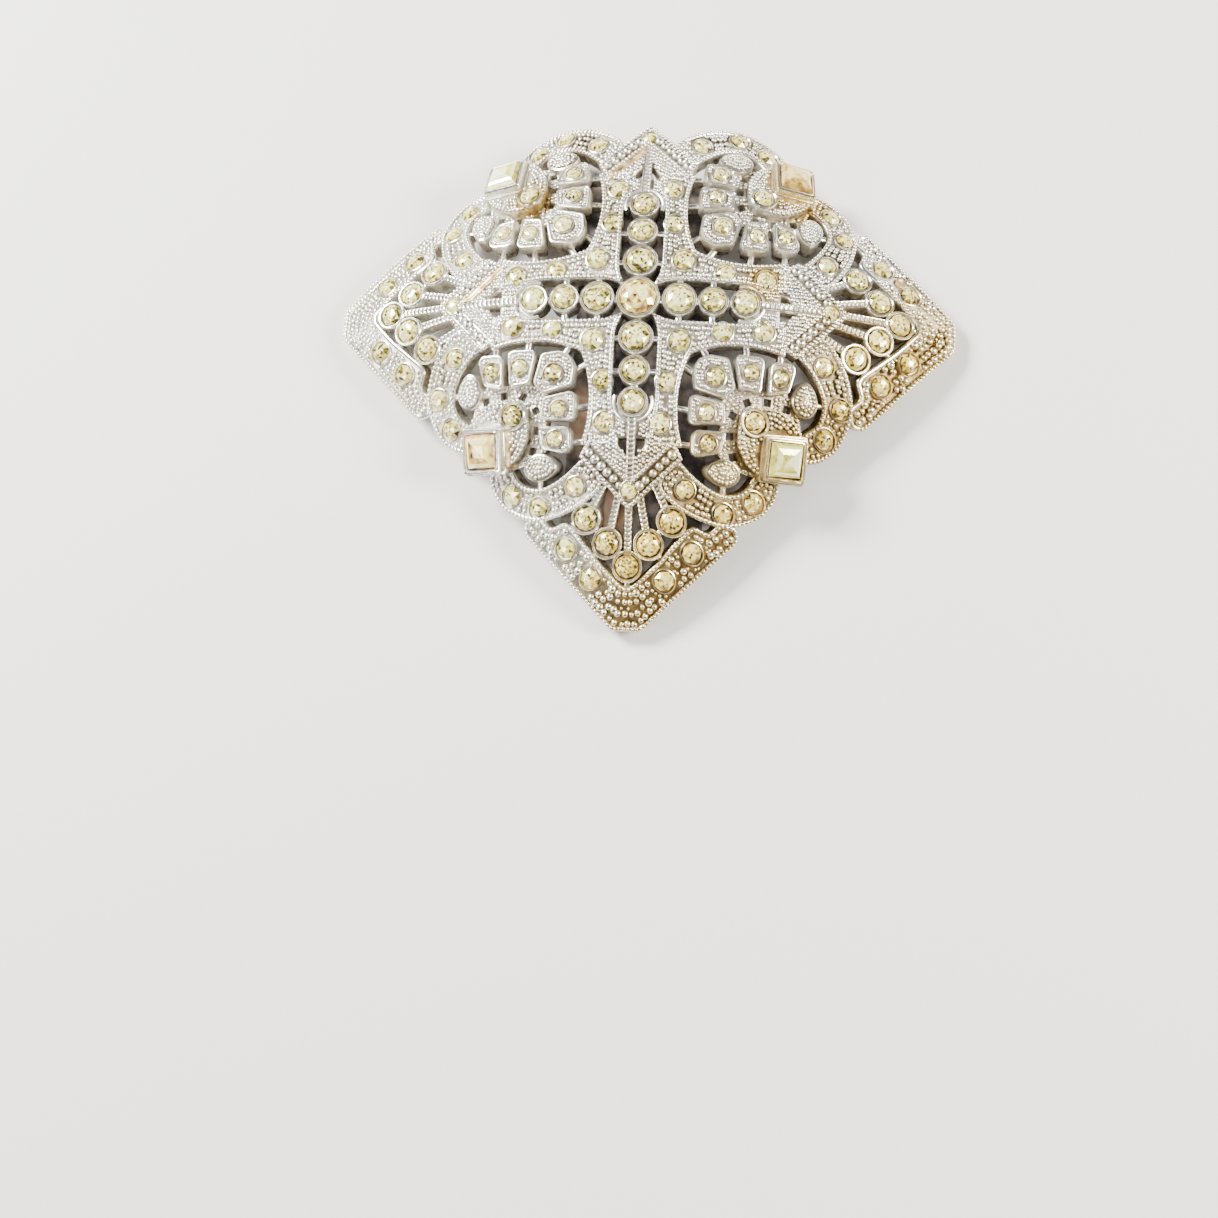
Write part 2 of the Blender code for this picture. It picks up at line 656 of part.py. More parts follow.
def make_back_clip(parts, cutters, spring_metal):
    """The spring clip as a bent strip with a forked end."""
    line = clip_profile()
    mesh = bpy.data.meshes.new("back_clip")
    half = LEAF_WIDTH / 2
    points = [(side * half * MM, y * MM, z * MM) for y, z in line for side in (1, -1)]
    faces = [(2 * i, 2 * i + 1, 2 * i + 3, 2 * i + 2) for i in range(len(line) - 1)]
    mesh.from_pydata(points, [], faces)
    mesh.materials.append(spring_metal)
    leaf = place_object("back_clip", mesh, parts)
    wall = leaf.modifiers.new("wall", "SOLIDIFY")
    wall.thickness = LEAF_THICKNESS * MM
    wall.offset = 0
    wall.use_even_offset = True
    end = line[-1][0]
    pitch = LEAF_WIDTH / (LEAF_SLOTS + 1)
    for number in range(LEAF_SLOTS):
        x = (number - (LEAF_SLOTS - 1) / 2) * pitch
        size = (LEAF_SLOT_WIDTH, 2 * LEAF_SLOT_LENGTH, DOME_RADIUS)
        bpy.ops.mesh.primitive_cube_add(size=1, location=(x * MM, end * MM, 0))
        cutter = bpy.context.object
        cutter.name = f"grip_slot_{number + 1}"
        cutter.data.transform(Matrix.Diagonal((*size, 1 / MM)) * MM)
        for owner in list(cutter.users_collection):
            owner.objects.unlink(cutter)
        cutters.objects.link(cutter)
        cutter.hide_render = True
        cutter.display_type = "WIRE"
        cut = leaf.modifiers.new(cutter.name, "BOOLEAN")
        cut.operation = "DIFFERENCE"
        cut.object = cutter
        cut.solver = "EXACT"
    return leaf


def stand_on_tips(parts, clip_cutters, casting):
    """Lifts everything so that the tips stand on z = 0, with the origin under the middle."""
    flat = np.empty(3 * len(casting.data.vertices))
    casting.data.vertices.foreach_get("co", flat)
    low, high = flat.reshape(-1, 3).min(axis=0), flat.reshape(-1, 3).max(axis=0)
    base = place_object("clip_base", None, parts)
    base.location = (-(low[0] + high[0]) / 2, -(low[1] + high[1]) / 2, -low[2])
    for part in (*parts.objects, *clip_cutters.objects):
        if part is not base:
            part.parent = base


def main():
    for thing in list(bpy.data.objects):
        bpy.data.objects.remove(thing)
    scene = bpy.context.scene.collection
    collections = {}
    for name in ("dress_clip", "casting_shapes", "casting_cutters", "clip_cutters"):
        collections[name] = bpy.data.collections.new(name)
        scene.children.link(collections[name])
    parts = collections["dress_clip"]

    metal = material("cast_metal", (0.62, 0.59, 0.53), 1.0, 0.32)
    glass = material("paste_stone", (0.9, 0.86, 0.62), 0.0, 0.05)
    spring_metal = material("spring_metal", (0.68, 0.42, 0.3), 1.0, 0.38)

    casting = make_casting(parts, collections["casting_shapes"], collections["casting_cutters"], metal)
    for name in ("casting_shapes", "casting_cutters"):
        for shape in list(collections[name].objects):
            bpy.data.objects.remove(shape)
        bpy.data.collections.remove(collections[name])
    make_stones(parts, glass)
    make_back_clip(parts, collections["clip_cutters"], spring_metal)
    stand_on_tips(parts, collections["clip_cutters"], casting)


main()
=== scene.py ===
# %% [markdown]
# # A domed dress clip in cast white metal and paste
#
# The clip is one pierced casting with about 120 stones, bent over a shallow dome.
# Its solids come from a CAD model.  This lesson dresses them: fine pieces take the place of the
# plain casting and of the plain stones, and every surface gets a procedural finish.
#
# The CAD model could be refined with modifiers, but its triangles are too few for beading.
# So the fine pieces are computed afresh, from the same plan and the same dome.

# %% Load the CAD model
from math import pi, radians, sqrt

import bmesh
import bpy
import numpy as np
from mathutils import Matrix, Vector
from mathutils.geometry import tessellate_polygon


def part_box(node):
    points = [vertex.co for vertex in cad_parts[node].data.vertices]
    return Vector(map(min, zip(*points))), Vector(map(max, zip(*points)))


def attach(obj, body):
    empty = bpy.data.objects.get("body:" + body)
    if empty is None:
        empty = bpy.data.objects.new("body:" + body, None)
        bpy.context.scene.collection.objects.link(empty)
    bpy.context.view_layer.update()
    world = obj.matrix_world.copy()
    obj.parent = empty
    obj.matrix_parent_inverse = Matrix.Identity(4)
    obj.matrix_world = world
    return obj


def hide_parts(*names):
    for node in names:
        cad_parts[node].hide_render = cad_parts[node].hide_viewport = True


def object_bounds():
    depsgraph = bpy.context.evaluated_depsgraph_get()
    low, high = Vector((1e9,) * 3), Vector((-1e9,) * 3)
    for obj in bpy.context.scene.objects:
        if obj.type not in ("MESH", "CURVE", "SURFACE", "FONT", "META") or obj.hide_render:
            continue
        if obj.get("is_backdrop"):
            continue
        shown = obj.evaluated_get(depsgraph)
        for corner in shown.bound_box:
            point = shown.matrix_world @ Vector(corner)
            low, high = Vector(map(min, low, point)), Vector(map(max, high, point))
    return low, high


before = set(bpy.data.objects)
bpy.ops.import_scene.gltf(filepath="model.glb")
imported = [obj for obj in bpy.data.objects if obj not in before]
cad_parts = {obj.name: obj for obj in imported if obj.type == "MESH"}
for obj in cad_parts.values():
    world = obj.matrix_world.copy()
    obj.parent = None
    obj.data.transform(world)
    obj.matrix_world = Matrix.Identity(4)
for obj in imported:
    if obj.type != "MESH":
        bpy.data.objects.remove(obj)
cad_box = [list(corner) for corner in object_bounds()]
print("CAD nodes:", len(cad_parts))

# %% [markdown]
# ## The drawing board
#
# The casting is drawn flat, in millimetres, with the centre stone at 0, 0.  Each point has a plan
# place x, y and a height above the dome.  Plan tables are in hundredths of the arm's reach, with u
# out along an arm and v across it.  The arms are numbered anticlockwise from the right one.
#
# Bending comes last: one formula carries every finished point onto the dome.  This keeps the
# drawing simple, and all pieces follow the same dome, so nothing has to be fitted by eye.

# %% Plan sizes and the dome
ARM_REACH = 19.1            # from the middle to a chevron's point
TIP_REACH = 29.2            # from the middle to the end of a fan tip
PERCENT = ARM_REACH / 100
SQUARE_AT = 69.5            # plan x and y of a square stone, in hundredths
DOME_RADIUS = 60.75
QUADRANT_DROP = 1.55        # how much lower than a sphere the dome lies at the square stones
DROP_PLACE = SQUARE_AT * PERCENT
BACK = -1.3                 # height of the casting's back
TABLE_ABOVE_DOME = 1.061    # height of the centre stone's flat top
RIGHT, TOP, LEFT, BOTTOM = EVERY_ARM = (0, 1, 2, 3)
FANS = (RIGHT, LEFT, BOTTOM)

centre_low, centre_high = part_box("centre_stone")
DOME_TOP = np.array([
    (centre_low.x + centre_high.x) / 2,
    (centre_low.y + centre_high.y) / 2,
    centre_high.z - TABLE_ABOVE_DOME / 1000,
])


def dome(x, y):
    """Level z = sqrt(R^2 - x^2 - y^2) - R - drop, where drop grows with (x y)^2, and the unit
    normal."""
    below = np.sqrt(DOME_RADIUS**2 - x**2 - y**2)
    drop = QUADRANT_DROP * (x * y / DROP_PLACE**2) ** 2
    slope = 2 * QUADRANT_DROP * x * y / DROP_PLACE**4
    normal = np.stack([x / below + slope * y, y / below + slope * x, np.ones_like(x)], axis=-1)
    return below - DOME_RADIUS - drop, normal / np.linalg.norm(normal, axis=-1, keepdims=True)


def on_dome(points):
    """Each point of the drawing goes to the dome's surface below it, plus its height along the
    normal."""
    x, y, height = np.asarray(points, float).T
    level, normal = dome(x, y)
    return np.stack([x, y, level], axis=-1) + normal * height[:, None]


print("top of the dome, in metres:", DOME_TOP.round(5))

# %% [markdown]
# ## Shapes as tables of numbers
#
# A shape is a table of points, tables of faces, and one number per point for wear and painted
# shade: 1 on bright, worn high edges, 0 deep in a hollow, where tarnish and painted shade darken
# the metal.  The finish reads that number later.
#
# Mesh tools could cut and bevel the pieces one by one.  Tables are quicker here, because a whole
# ring of points, or a thousand beads, is one line of arithmetic.

# %% Shapes, copies and scatters
class Shape:
    """Points (x, y, height), one face table per kind of polygon, and wear and painted shade from 0
    to 1 per point.
    """

    def __init__(self, points, faces, wear_and_painted_shade):
        self.points = np.asarray(points, float)
        self.faces = [np.atleast_2d(np.asarray(table, int)) for table in faces]
        self.wear_and_painted_shade = np.array(np.broadcast_to(wear_and_painted_shade, len(self.points)), float)


def joined(shapes):
    """Several shapes as one: the point numbers of each are moved up by the points before it."""
    starts = np.cumsum([0] + [len(shape.points) for shape in shapes])
    tables = [table + start for shape, start in zip(shapes, starts) for table in shape.faces]
    wear_and_painted_shade = np.concatenate([shape.wear_and_painted_shade for shape in shapes])
    return Shape(np.vstack([shape.points for shape in shapes]), tables, wear_and_painted_shade)


def turned(points, quarter_turns):
    """(x, y) becomes (-y, x), once for each quarter turn."""
    points = np.array(points, float)
    for _ in range(quarter_turns % 4):
        points[:, :2] = np.stack([-points[:, 1], points[:, 0]], axis=1)
    return points


def all_round(shape, arms=EVERY_ARM, both_sides=False):
    """Copies on the given arms, each with its mirror image in the arm's line if both_sides."""
    made = []
    for arm in arms:
        made.append(Shape(turned(shape.points, arm), shape.faces, shape.wear_and_painted_shade))
        if both_sides:
            flipped = [table[:, ::-1] for table in shape.faces]
            made.append(Shape(turned(shape.points * (1, -1, 1), arm), flipped, shape.wear_and_painted_shade))
    return joined(made)


def places_round(places, arms=EVERY_ARM, both_sides=False):
    """The same copies of plain plan places."""
    places = np.atleast_2d(np.asarray(places, float))
    flip = np.ones(places.shape[1])
    flip[1] = -1
    sides = (places, places * flip) if both_sides else (places,)
    return np.vstack([turned(side, arm) for arm in arms for side in sides])


def on_circle(angle):
    """Points of a circle of radius 1 about 0, 0."""
    return np.stack([np.cos(angle), np.sin(angle)], axis=1)


def lifted(places, height):
    """Plan places as points at a height, which may be one number or one for each place."""
    return np.column_stack([places, np.broadcast_to(height, len(places))])


def scattered(unit, places, sizes, directions=0.0):
    """Copies of one small shape, all at once: P = place + turn(direction) (size * p)."""
    places = np.asarray(places, float)
    sizes = np.broadcast_to(np.asarray(sizes, float), places.shape)
    angle = np.broadcast_to(directions, len(places))[:, None]
    local = unit.points[None] * sizes[:, None]
    x = np.cos(angle) * local[..., 0] - np.sin(angle) * local[..., 1]
    y = np.sin(angle) * local[..., 0] + np.cos(angle) * local[..., 1]
    points = np.stack([x, y, local[..., 2]], axis=-1) + places[:, None]
    step = (np.arange(len(places)) * len(unit.points))[:, None, None]
    tables = [(table[None] + step).reshape(-1, table.shape[1]) for table in unit.faces]
    return Shape(points.reshape(-1, 3), tables, np.tile(unit.wear_and_painted_shade, len(places)))


print("shapes can be joined, turned, mirrored and scattered")

# %% [markdown]
# ## Outlines
#
# Ribbons, petals and rings are outlines with a moulded edge.  Two steps make each ring of such an
# edge: move every side of the outline inwards by the same distance, then round the corners.
#
# Rounding comes after the inset, because a rounded outline that is moved in folds over itself at
# tight corners, while a plain polygon keeps its point count.

# %% Insets, rounded corners and even spacing
SAME_PLACE, TINY = 1e-6, 1e-12
LARGEST_SHARE = 0.48        # of a side, for one rounded corner


def mirrored_half(half, diagonal=False):
    """A half outline closed by its mirror image in the arm's line, or in the diagonal."""
    other = half[::-1, ::-1] if diagonal else half[::-1] * (1, -1)
    off_line = np.abs(half[:, 0] - half[:, 1]) if diagonal else np.abs(half[:, 1])
    return np.vstack([half, other[off_line[::-1] > SAME_PLACE]])


def plan(rows):
    """A plan table in millimetres."""
    return np.array(rows, float) * PERCENT


def fan_plan(rows):
    """A fan table in millimetres: the first column is the share of the way from arm to tip."""
    share, across = np.array(rows, float).T
    return np.stack([ARM_REACH + share * (TIP_REACH - ARM_REACH), across * PERCENT], axis=1)


def anticlockwise(corners):
    """The outline in turning order: its area by the shoelace formula is positive."""
    ahead = np.roll(corners, -1, axis=0)
    area = np.sum(corners[:, 0] * ahead[:, 1] - ahead[:, 0] * corners[:, 1])
    return corners if area > 0 else corners[::-1]


def inset(corners, distance):
    """Every side moved in by distance; a corner moves by (n1 + n2) distance / (1 + n1.n2)."""
    corners = anticlockwise(corners)
    ahead = np.roll(corners, -1, axis=0) - corners
    ahead = ahead / np.linalg.norm(ahead, axis=1)[:, None]
    inward = np.stack([-ahead[:, 1], ahead[:, 0]], axis=1)
    before = np.roll(inward, 1, axis=0)
    share = 1 + np.sum(inward * before, axis=1)
    return corners + (inward + before) * (distance / share)[:, None]


def rounded(corners, reach, steps=5):
    """Corner C becomes (1-t)^2 A + 2t(1-t) C + t^2 B, with A and B on its two sides, reach away."""
    before = np.roll(corners, 1, axis=0) - corners
    after = np.roll(corners, -1, axis=0) - corners
    share_before = np.minimum(reach / np.linalg.norm(before, axis=1), LARGEST_SHARE)[:, None]
    share_after = np.minimum(reach / np.linalg.norm(after, axis=1), LARGEST_SHARE)[:, None]
    first, last = corners + before * share_before, corners + after * share_after
    t = np.linspace(0, 1, steps)[:, None, None]
    curve = (1 - t) ** 2 * first + 2 * t * (1 - t) * corners + t**2 * last
    return curve.transpose(1, 0, 2).reshape(-1, 2)


def evenly(outline, pitch):
    """Points at equal arc length round an outline, and its direction at each, as an angle."""
    path = np.vstack([outline, outline[:1]])
    along = np.concatenate([[0], np.cumsum(np.linalg.norm(np.diff(path, axis=0), axis=1))])
    count = max(round(along[-1] / pitch), 2)
    at = np.linspace(0, along[-1], count + 1)
    points = np.stack([np.interp(at, along, path[:, axis]) for axis in (0, 1)], axis=1)
    ahead = np.gradient(points, axis=0)
    ahead[0] = points[1] - points[-2]
    return points[:-1], np.arctan2(ahead[:-1, 1], ahead[:-1, 0])


def gap_to_sides(points, start, side):
    """Distance from each point p to the nearest of some line pieces.  The nearest place on a piece
    is the share (p - start).side / side.side of the way along it, held between 0 and 1."""
    offset = points[:, None] - start
    share = np.sum(offset * side, axis=2) / np.maximum(np.sum(side**2, axis=1), TINY)
    nearest = offset - np.clip(share, 0, 1)[..., None] * side
    return np.linalg.norm(nearest, axis=2).min(axis=1)


def gap_to_outline(points, outline):
    """Distance from each point to the nearest side, negative outside the outline.  A point is
    inside where a line to the right of it crosses an odd number of sides."""
    start, side = outline, np.roll(outline, -1, axis=0) - outline
    gap = gap_to_sides(points, start, side)
    end = start + side
    spans = (start[:, 1] > points[:, None, 1]) != (end[:, 1] > points[:, None, 1])
    rise = np.where(np.abs(side[:, 1]) < TINY, TINY, side[:, 1])
    crossing = start[:, 0] + (points[:, None, 1] - start[:, 1]) * side[:, 0] / rise
    inside = np.sum(spans & (points[:, None, 0] < crossing), axis=1) % 2 == 1
    return np.where(inside, gap, -gap)


print("outline tools: inset, rounded, evenly, gap_to_sides, gap_to_outline")

# %% [markdown]
# ## Blocks, bars and turned rings
#
# Three kinds of body make up the casting.  A block is an outline whose edge is moulded.  A bar is
# a small profile carried along a path, like the stems of the fans.  A turned ring is a profile
# carried round a circle, like a bezel.
#
# All three end as rings of points joined by four-sided faces, so one function builds the faces.

# %% Lofts
GROOVE_DARKER = 0.8


def lofted(rings, wear_and_painted_shade):
    """Ring after ring joined by four-sided faces, with one flat face over the first and last."""
    rows, count = rings.shape[:2]
    number = np.arange(rows * count).reshape(rows, count)
    ahead = np.roll(number, -1, axis=1)
    sides = np.stack([number[:-1], ahead[:-1], ahead[1:], number[1:]], axis=-1).reshape(-1, 4)
    wear_and_painted_shade = np.broadcast_to(wear_and_painted_shade, (count, rows)).T if np.ndim(wear_and_painted_shade) < 2 else wear_and_painted_shade
    return Shape(rings.reshape(-1, 3), [sides, number[0][::-1], number[-1]], np.ravel(wear_and_painted_shade))


def block(corners, profile, reach, crown=(), steps=5):
    """Ring i is the outline moved in by d_i at height h_i; profile rows are (d, h, wear and
    painted shade).  Crown rows shrink the last ring about its middle M: P = M + share (P - M)."""
    rings = []
    for distance, height, _ in profile:
        rings.append(lifted(rounded(inset(corners, distance), reach, steps), height))
    last = rings[-1]
    middle = last[:, :2].mean(axis=0)
    for share, height, _ in crown:
        rings.append(lifted(middle + share * (last[:, :2] - middle), height))
    return lofted(np.array(rings), [row[2] for row in (*profile, *crown)])


def swept(path, section, rib_pitch=None, rib_height=0.0):
    """A profile carried along a path: P(s, t) = path(s) + aside(s) across(t), at height(t) plus
    rib(t) times a wave of the way along.  Section rows are (across, height, rib, wear and painted
    shade), and the grooves between ribs are darker, by tarnish and painted shade."""
    section = np.array(section, float)
    ahead = np.gradient(path, axis=0)
    ahead = ahead / np.linalg.norm(ahead, axis=1)[:, None]
    aside = np.stack([-ahead[:, 1], ahead[:, 0]], axis=1)
    plan_points = path[:, None] + aside[:, None] * section[None, :, :1]
    along = np.concatenate([[0], np.cumsum(np.linalg.norm(np.diff(path, axis=0), axis=1))])
    wave = 0.5 - 0.5 * np.cos(2 * pi * along / rib_pitch) if rib_pitch else np.ones(len(path))
    height = section[None, :, 1] + wave[:, None] * rib_height * section[None, :, 2]
    wear_and_painted_shade = section[None, :, 3] + (wave[:, None] - 1) * GROOVE_DARKER * (section[None, :, 2] > 0)
    rings = np.concatenate([plan_points, height[..., None]], axis=2)
    return lofted(rings, np.clip(wear_and_painted_shade, 0, 1))


def whole_section(half):
    """A section from one wall to its middle, and its mirror image down to the other wall."""
    half = np.array(half, float)
    return np.vstack([half, half[-2::-1] * (-1, 1, 1, 1)])


def turned_ring(profile, sides):
    """A profile (radius, height, wear and painted shade) carried round the z axis."""
    angle = 2 * pi * np.arange(sides) / sides
    radius, height, wear_and_painted_shade = np.array(profile, float).T
    rings = np.stack([
        radius[:, None] * np.cos(angle), radius[:, None] * np.sin(angle),
        np.broadcast_to(height[:, None], (len(radius), sides)),
    ], axis=-1)
    return lofted(rings, wear_and_painted_shade)


def straight(start, end, pitch):
    """A straight path with a point about every pitch."""
    start, end = np.array(start, float), np.array(end, float)
    count = max(2, round(np.linalg.norm(end - start) / pitch) + 1)
    return start + np.linspace(0, 1, count)[:, None] * (end - start)


print("lofts: block, swept, turned_ring; sections are mirrored by whole_section")

# %% [markdown]
# ## Beads and shot
#
# The edges carry milgrain, a rope of tiny beads that a knurled wheel rolls onto the metal.  The
# fields between the edges are filled with round shot, which follows the edges in uneven rows.
#
# A bump map could fake both, but they catch the light one by one and break up the outline, so they
# are real domes.  Each has only 26 faces, because there are thousands.

# %% Bead shapes and rows
SHOT_RNG = np.random.default_rng(7)
MILGRAIN_PITCH, MILGRAIN_RADIUS, MILGRAIN_HEIGHT = 0.4, 0.18, 0.19
MOST_ROWS, ALONG_ROW, ROW_SLACK = 8, 0.98, 0.08
SHOT_SHIFT = 0.035                          # mm
SHOT_SMALLER, SHOT_LARGER = -0.16, 0.1      # shares of the radius
SHOT_FLATTER = 0.95

# The bead's foot is dark, as painted shade in the gaps between beads.
bead = turned_ring([(1, -0.5, 0.0), (0.98, 0.2, 0.1), (0.76, 0.65, 0.55), (0.36, 0.93, 1.0)], 8)


def milgrain(corners, distance, height, reach, width=0.19, keep=None):
    """Beads along the outline moved in by distance, a little longer across the edge than along."""
    path = rounded(inset(corners, distance), reach)
    points, direction = evenly(path, MILGRAIN_PITCH)
    if keep is not None:
        shown = keep(points)
        points, direction = points[shown], direction[shown]
    sizes = (MILGRAIN_RADIUS, width, MILGRAIN_HEIGHT)
    return scattered(bead, lifted(points, height), sizes, direction)


def shot_rows(corners, reach, first, pitch, stones, gap=0.9):
    """Plan places in rows that follow the outline, the first at that distance from it.  A ball is
    left out where it would touch the edge, a stone, or a ball of an earlier row."""
    outline = rounded(anticlockwise(corners), reach)
    kept = np.zeros((0, 2))
    for row in range(MOST_ROWS):
        distance = first + row * pitch
        ring, _ = evenly(rounded(inset(corners, distance), reach), pitch * ALONG_ROW)
        ring = ring[gap_to_outline(ring, outline) > distance - ROW_SLACK]
        for x, y, clear in stones:
            ring = ring[np.hypot(ring[:, 0] - x, ring[:, 1] - y) > clear]
        if len(kept):
            near = np.linalg.norm(ring[:, None] - kept[None], axis=2).min(axis=1)
            ring = ring[near > pitch * gap]
        kept = np.vstack([kept, ring])
    return kept


def grains(corners, reach, margin, pitch, stones, balls, clear):
    """Plan places for fine grains on a triangular grid, kept off the edge, the stones and the
    balls."""
    low, high = corners.min(axis=0), corners.max(axis=0)
    rows = np.arange(low[1], high[1], pitch * sqrt(3) / 2)
    x, y = np.meshgrid(np.arange(low[0], high[0], pitch), rows)
    x = x + np.where(np.arange(len(rows)) % 2, pitch / 2, 0)[:, None]
    grid = np.stack([x.ravel(), y.ravel()], axis=1)
    grid = grid[gap_to_outline(grid, rounded(anticlockwise(corners), reach)) > margin]
    for stone_x, stone_y, radius in stones:
        grid = grid[np.hypot(grid[:, 0] - stone_x, grid[:, 1] - stone_y) > radius]
    near = np.linalg.norm(grid[:, None] - balls[None], axis=2).min(axis=1)
    return grid[near > clear]


def shot(places, height, radius, uneven=1.0):
    """Round balls of uneven size and place, sunk to their middle in the metal."""
    count = len(places)
    shift = SHOT_RNG.normal(0, SHOT_SHIFT * uneven, (count, 2))
    size = radius * (1 + uneven * SHOT_RNG.uniform(SHOT_SMALLER, SHOT_LARGER, count))
    sizes = np.stack([size, size, size * SHOT_FLATTER], axis=1)
    return scattered(bead, lifted(places + shift, height), sizes)


print("one bead has", sum(len(table) for table in bead.faces), "faces")

# %% [markdown]
# ## Finishes
#
# The metal is a white tin alloy with a thin bright plating.  It stays silver on high edges, and
# turns golden brown in hollows, more so towards the right and the foot of the clip.  Painted shade
# darkens the hollows as well.
#
# An image could hold that pattern.  Nodes are better: the number for wear and painted shade of the
# points, two noises and the place on the clip give the pattern on every side, at any size.
#
# First come a few helpers, because every finish is written the same way: a node with its inputs, a
# colour ramp, a sum, a straight line between two values, a noise, and a mix of two colours.

# %% Helpers for node trees
def new_material(name):
    """An empty material and a function that adds a node with its settings and inputs."""
    made = bpy.data.materials.new(name)
    made.use_nodes = True
    tree = made.node_tree
    tree.nodes.clear()

    def node(kind, inputs=None, **settings):
        added = tree.nodes.new(kind)
        for key, value in settings.items():
            setattr(added, key, value)
        for key, value in (inputs or {}).items():
            if isinstance(value, bpy.types.NodeSocket):
                tree.links.new(value, added.inputs[key])
            else:
                added.inputs[key].default_value = value
        return added

    return made, node


def ramp(node, factor, stops):
    """A colour ramp: stops are (position, colour)."""
    added = node("ShaderNodeValToRGB", {"Fac": factor})
    elements = added.color_ramp.elements
    while len(elements) < len(stops):
        elements.new(0.5)
    for element, (position, colour) in zip(elements, stops):
        element.position = position
        element.color = (*colour, 1)
    return added.outputs["Color"]


def maths(node, operation, first, second=0.0, clamp=False):
    """One sum or product as a node."""
    added = node("ShaderNodeMath", {0: first, 1: second}, operation=operation, use_clamp=clamp)
    return added.outputs[0]


def between(node, value, start, end, low=0.0, high=1.0):
    """Low where the value is start, high where it is end, and a straight line between them."""
    return node("ShaderNodeMapRange", {
        "Value": value, "From Min": start, "From Max": end, "To Min": low, "To Max": high,
    }).outputs[0]


def noise(node, place, scale, detail):
    """Clouds with values round 0.5, finer for a larger scale."""
    inputs = {"Vector": place, "Scale": scale, "Detail": detail}
    return node("ShaderNodeTexNoise", inputs).outputs["Fac"]


def swing(node, clouds, strength):
    """(clouds - 0.5) strength: the same clouds with values round 0."""
    return maths(node, "MULTIPLY", maths(node, "SUBTRACT", clouds, 0.5), strength)


def mixed(node, share, first, second):
    """The first colour, and the second where the share is 1."""
    return node("ShaderNodeMix", {0: share, 6: first, 7: second}, data_type="RGBA").outputs[2]


print("node helpers: ramp, maths, between, noise, swing, mixed")

# %% [markdown]
# Two masks say where on the clip a point lies: one grows towards the lower right, the other is a
# round spot.  Their places are in metres, because materials read the finished mesh.
#
# The last helper ends every metal finish with a bump, the shader and the output.  The bump is for
# grain too fine for a mesh.

# %% Masks, and the end of a metal finish
MASK_LEFT_END = -0.009


def lower_right_share(node, place, start, end):
    """How far a place lies towards the clip's lower right: 0.8 x - y, from 0 at start to 1 at end,
    and fading out from the middle line to 9 mm left of it."""
    split = node("ShaderNodeSeparateXYZ", {0: place}).outputs
    lean = maths(node, "SUBTRACT", maths(node, "MULTIPLY", split["X"], 0.8), split["Y"])
    not_left = between(node, split["X"], MASK_LEFT_END, 0.0)
    return maths(node, "MULTIPLY", between(node, lean, start, end), not_left)


def spot_share(node, place, middle, radius):
    """A round spot: 1 within half its radius, 0 at its edge, measured flat, without the height."""
    flat = node("ShaderNodeVectorMath", {0: place, 1: (1.0, 1.0, 0.0)}, operation="MULTIPLY")
    ends = {0: flat.outputs[0], 1: (*middle, 0.0)}
    away = node("ShaderNodeVectorMath", ends, operation="DISTANCE")
    return between(node, away.outputs["Value"], radius, radius / 2)


def lay_metal(node, colour, roughness, metallic, relief, strength, depth):
    """The nodes that end a metal finish: relief becomes a bump of that depth, in metres."""
    bump = node("ShaderNodeBump", {"Strength": strength, "Distance": depth, "Height": relief})
    shader = node("ShaderNodeBsdfPrincipled", {
        "Base Color": colour, "Roughness": roughness, "Metallic": metallic,
        "Normal": bump.outputs[0],
    })
    node("ShaderNodeOutputMaterial", {"Surface": shader.outputs[0]})


print("more node helpers: lower_right_share, spot_share, lay_metal")

# %% [markdown]
# ## Tarnished white metal
#
# Fingers keep the high edges bright.  Where they never reach, a brown film grows, and at the lower
# right it is golden.  Painted shade darkens the hollows too.  Painted light makes the left side
# lighter, where the lamp at the upper left shines, and the right tip is lighter as well.  Three
# more golden spots lie by themselves, two places are darker than the rest, and a spot of painted
# light makes the left side of the bottom tip paler.
#
# Everything that darkens the metal, tarnish and painted shade, is added up to one number.  A silver
# and a golden ramp turn it into colours, which is easier to adjust than a stack of mixed layers.

# %% The metal's finish
# Each spot is its middle x, y and its radius, in metres.
GOLDEN_SPOTS = [
    ((0.0146, 0.0178), 0.0047), ((-0.0108, 0.0154), 0.0027), ((0.0112, 0.0069), 0.0026),
]
# Two spots that are darker than the rest.
DARKER_SPOTS = [((0.0165, -0.0085), 0.008), ((0.0, -0.0105), 0.005)]
# A spot of painted light on the left side of the bottom tip.
PAINTED_LIGHT_SPOT = ((-0.0055, -0.019), 0.0075)
# Hollows darken by tarnish and by painted shade; the spots are only darker.
HOLLOW_TARNISH_AND_SHADE, PATCH_TARNISH, SPECK_TARNISH, SPOT_DARKENING = 0.86, 0.35, 0.9, 0.16
# Where the hollows are lighter: x from and to, and the share of the darkening left at each.  The
# left is painted light, where the lamp at the upper left shines; the right tip is lighter.
LEFT_PAINTED_LIGHT = (-0.026, -0.008, 0.3, 1.0)
RIGHT_LIGHTER = (0.019, 0.027, 1.0, 0.62)
SPOT_LIGHTENING = -0.5
GOLDEN_START, GOLDEN_END, GOLDEN_CLOUDS = 0.006, 0.0195, 1.2
# Each stop is an amount of tarnish and the colour there.
SILVER = [
    (0.0, (0.99, 0.97, 0.91)), (0.3, (0.91, 0.875, 0.78)), (0.55, (0.62, 0.58, 0.485)),
    (0.8, (0.29, 0.265, 0.21)), (1.0, (0.12, 0.1, 0.075)),
]
GOLDEN = [
    (0.0, (1.0, 0.93, 0.7)), (0.25, (0.87, 0.72, 0.4)), (0.5, (0.55, 0.41, 0.17)),
    (0.78, (0.28, 0.19, 0.07)), (1.0, (0.11, 0.07, 0.025)),
]


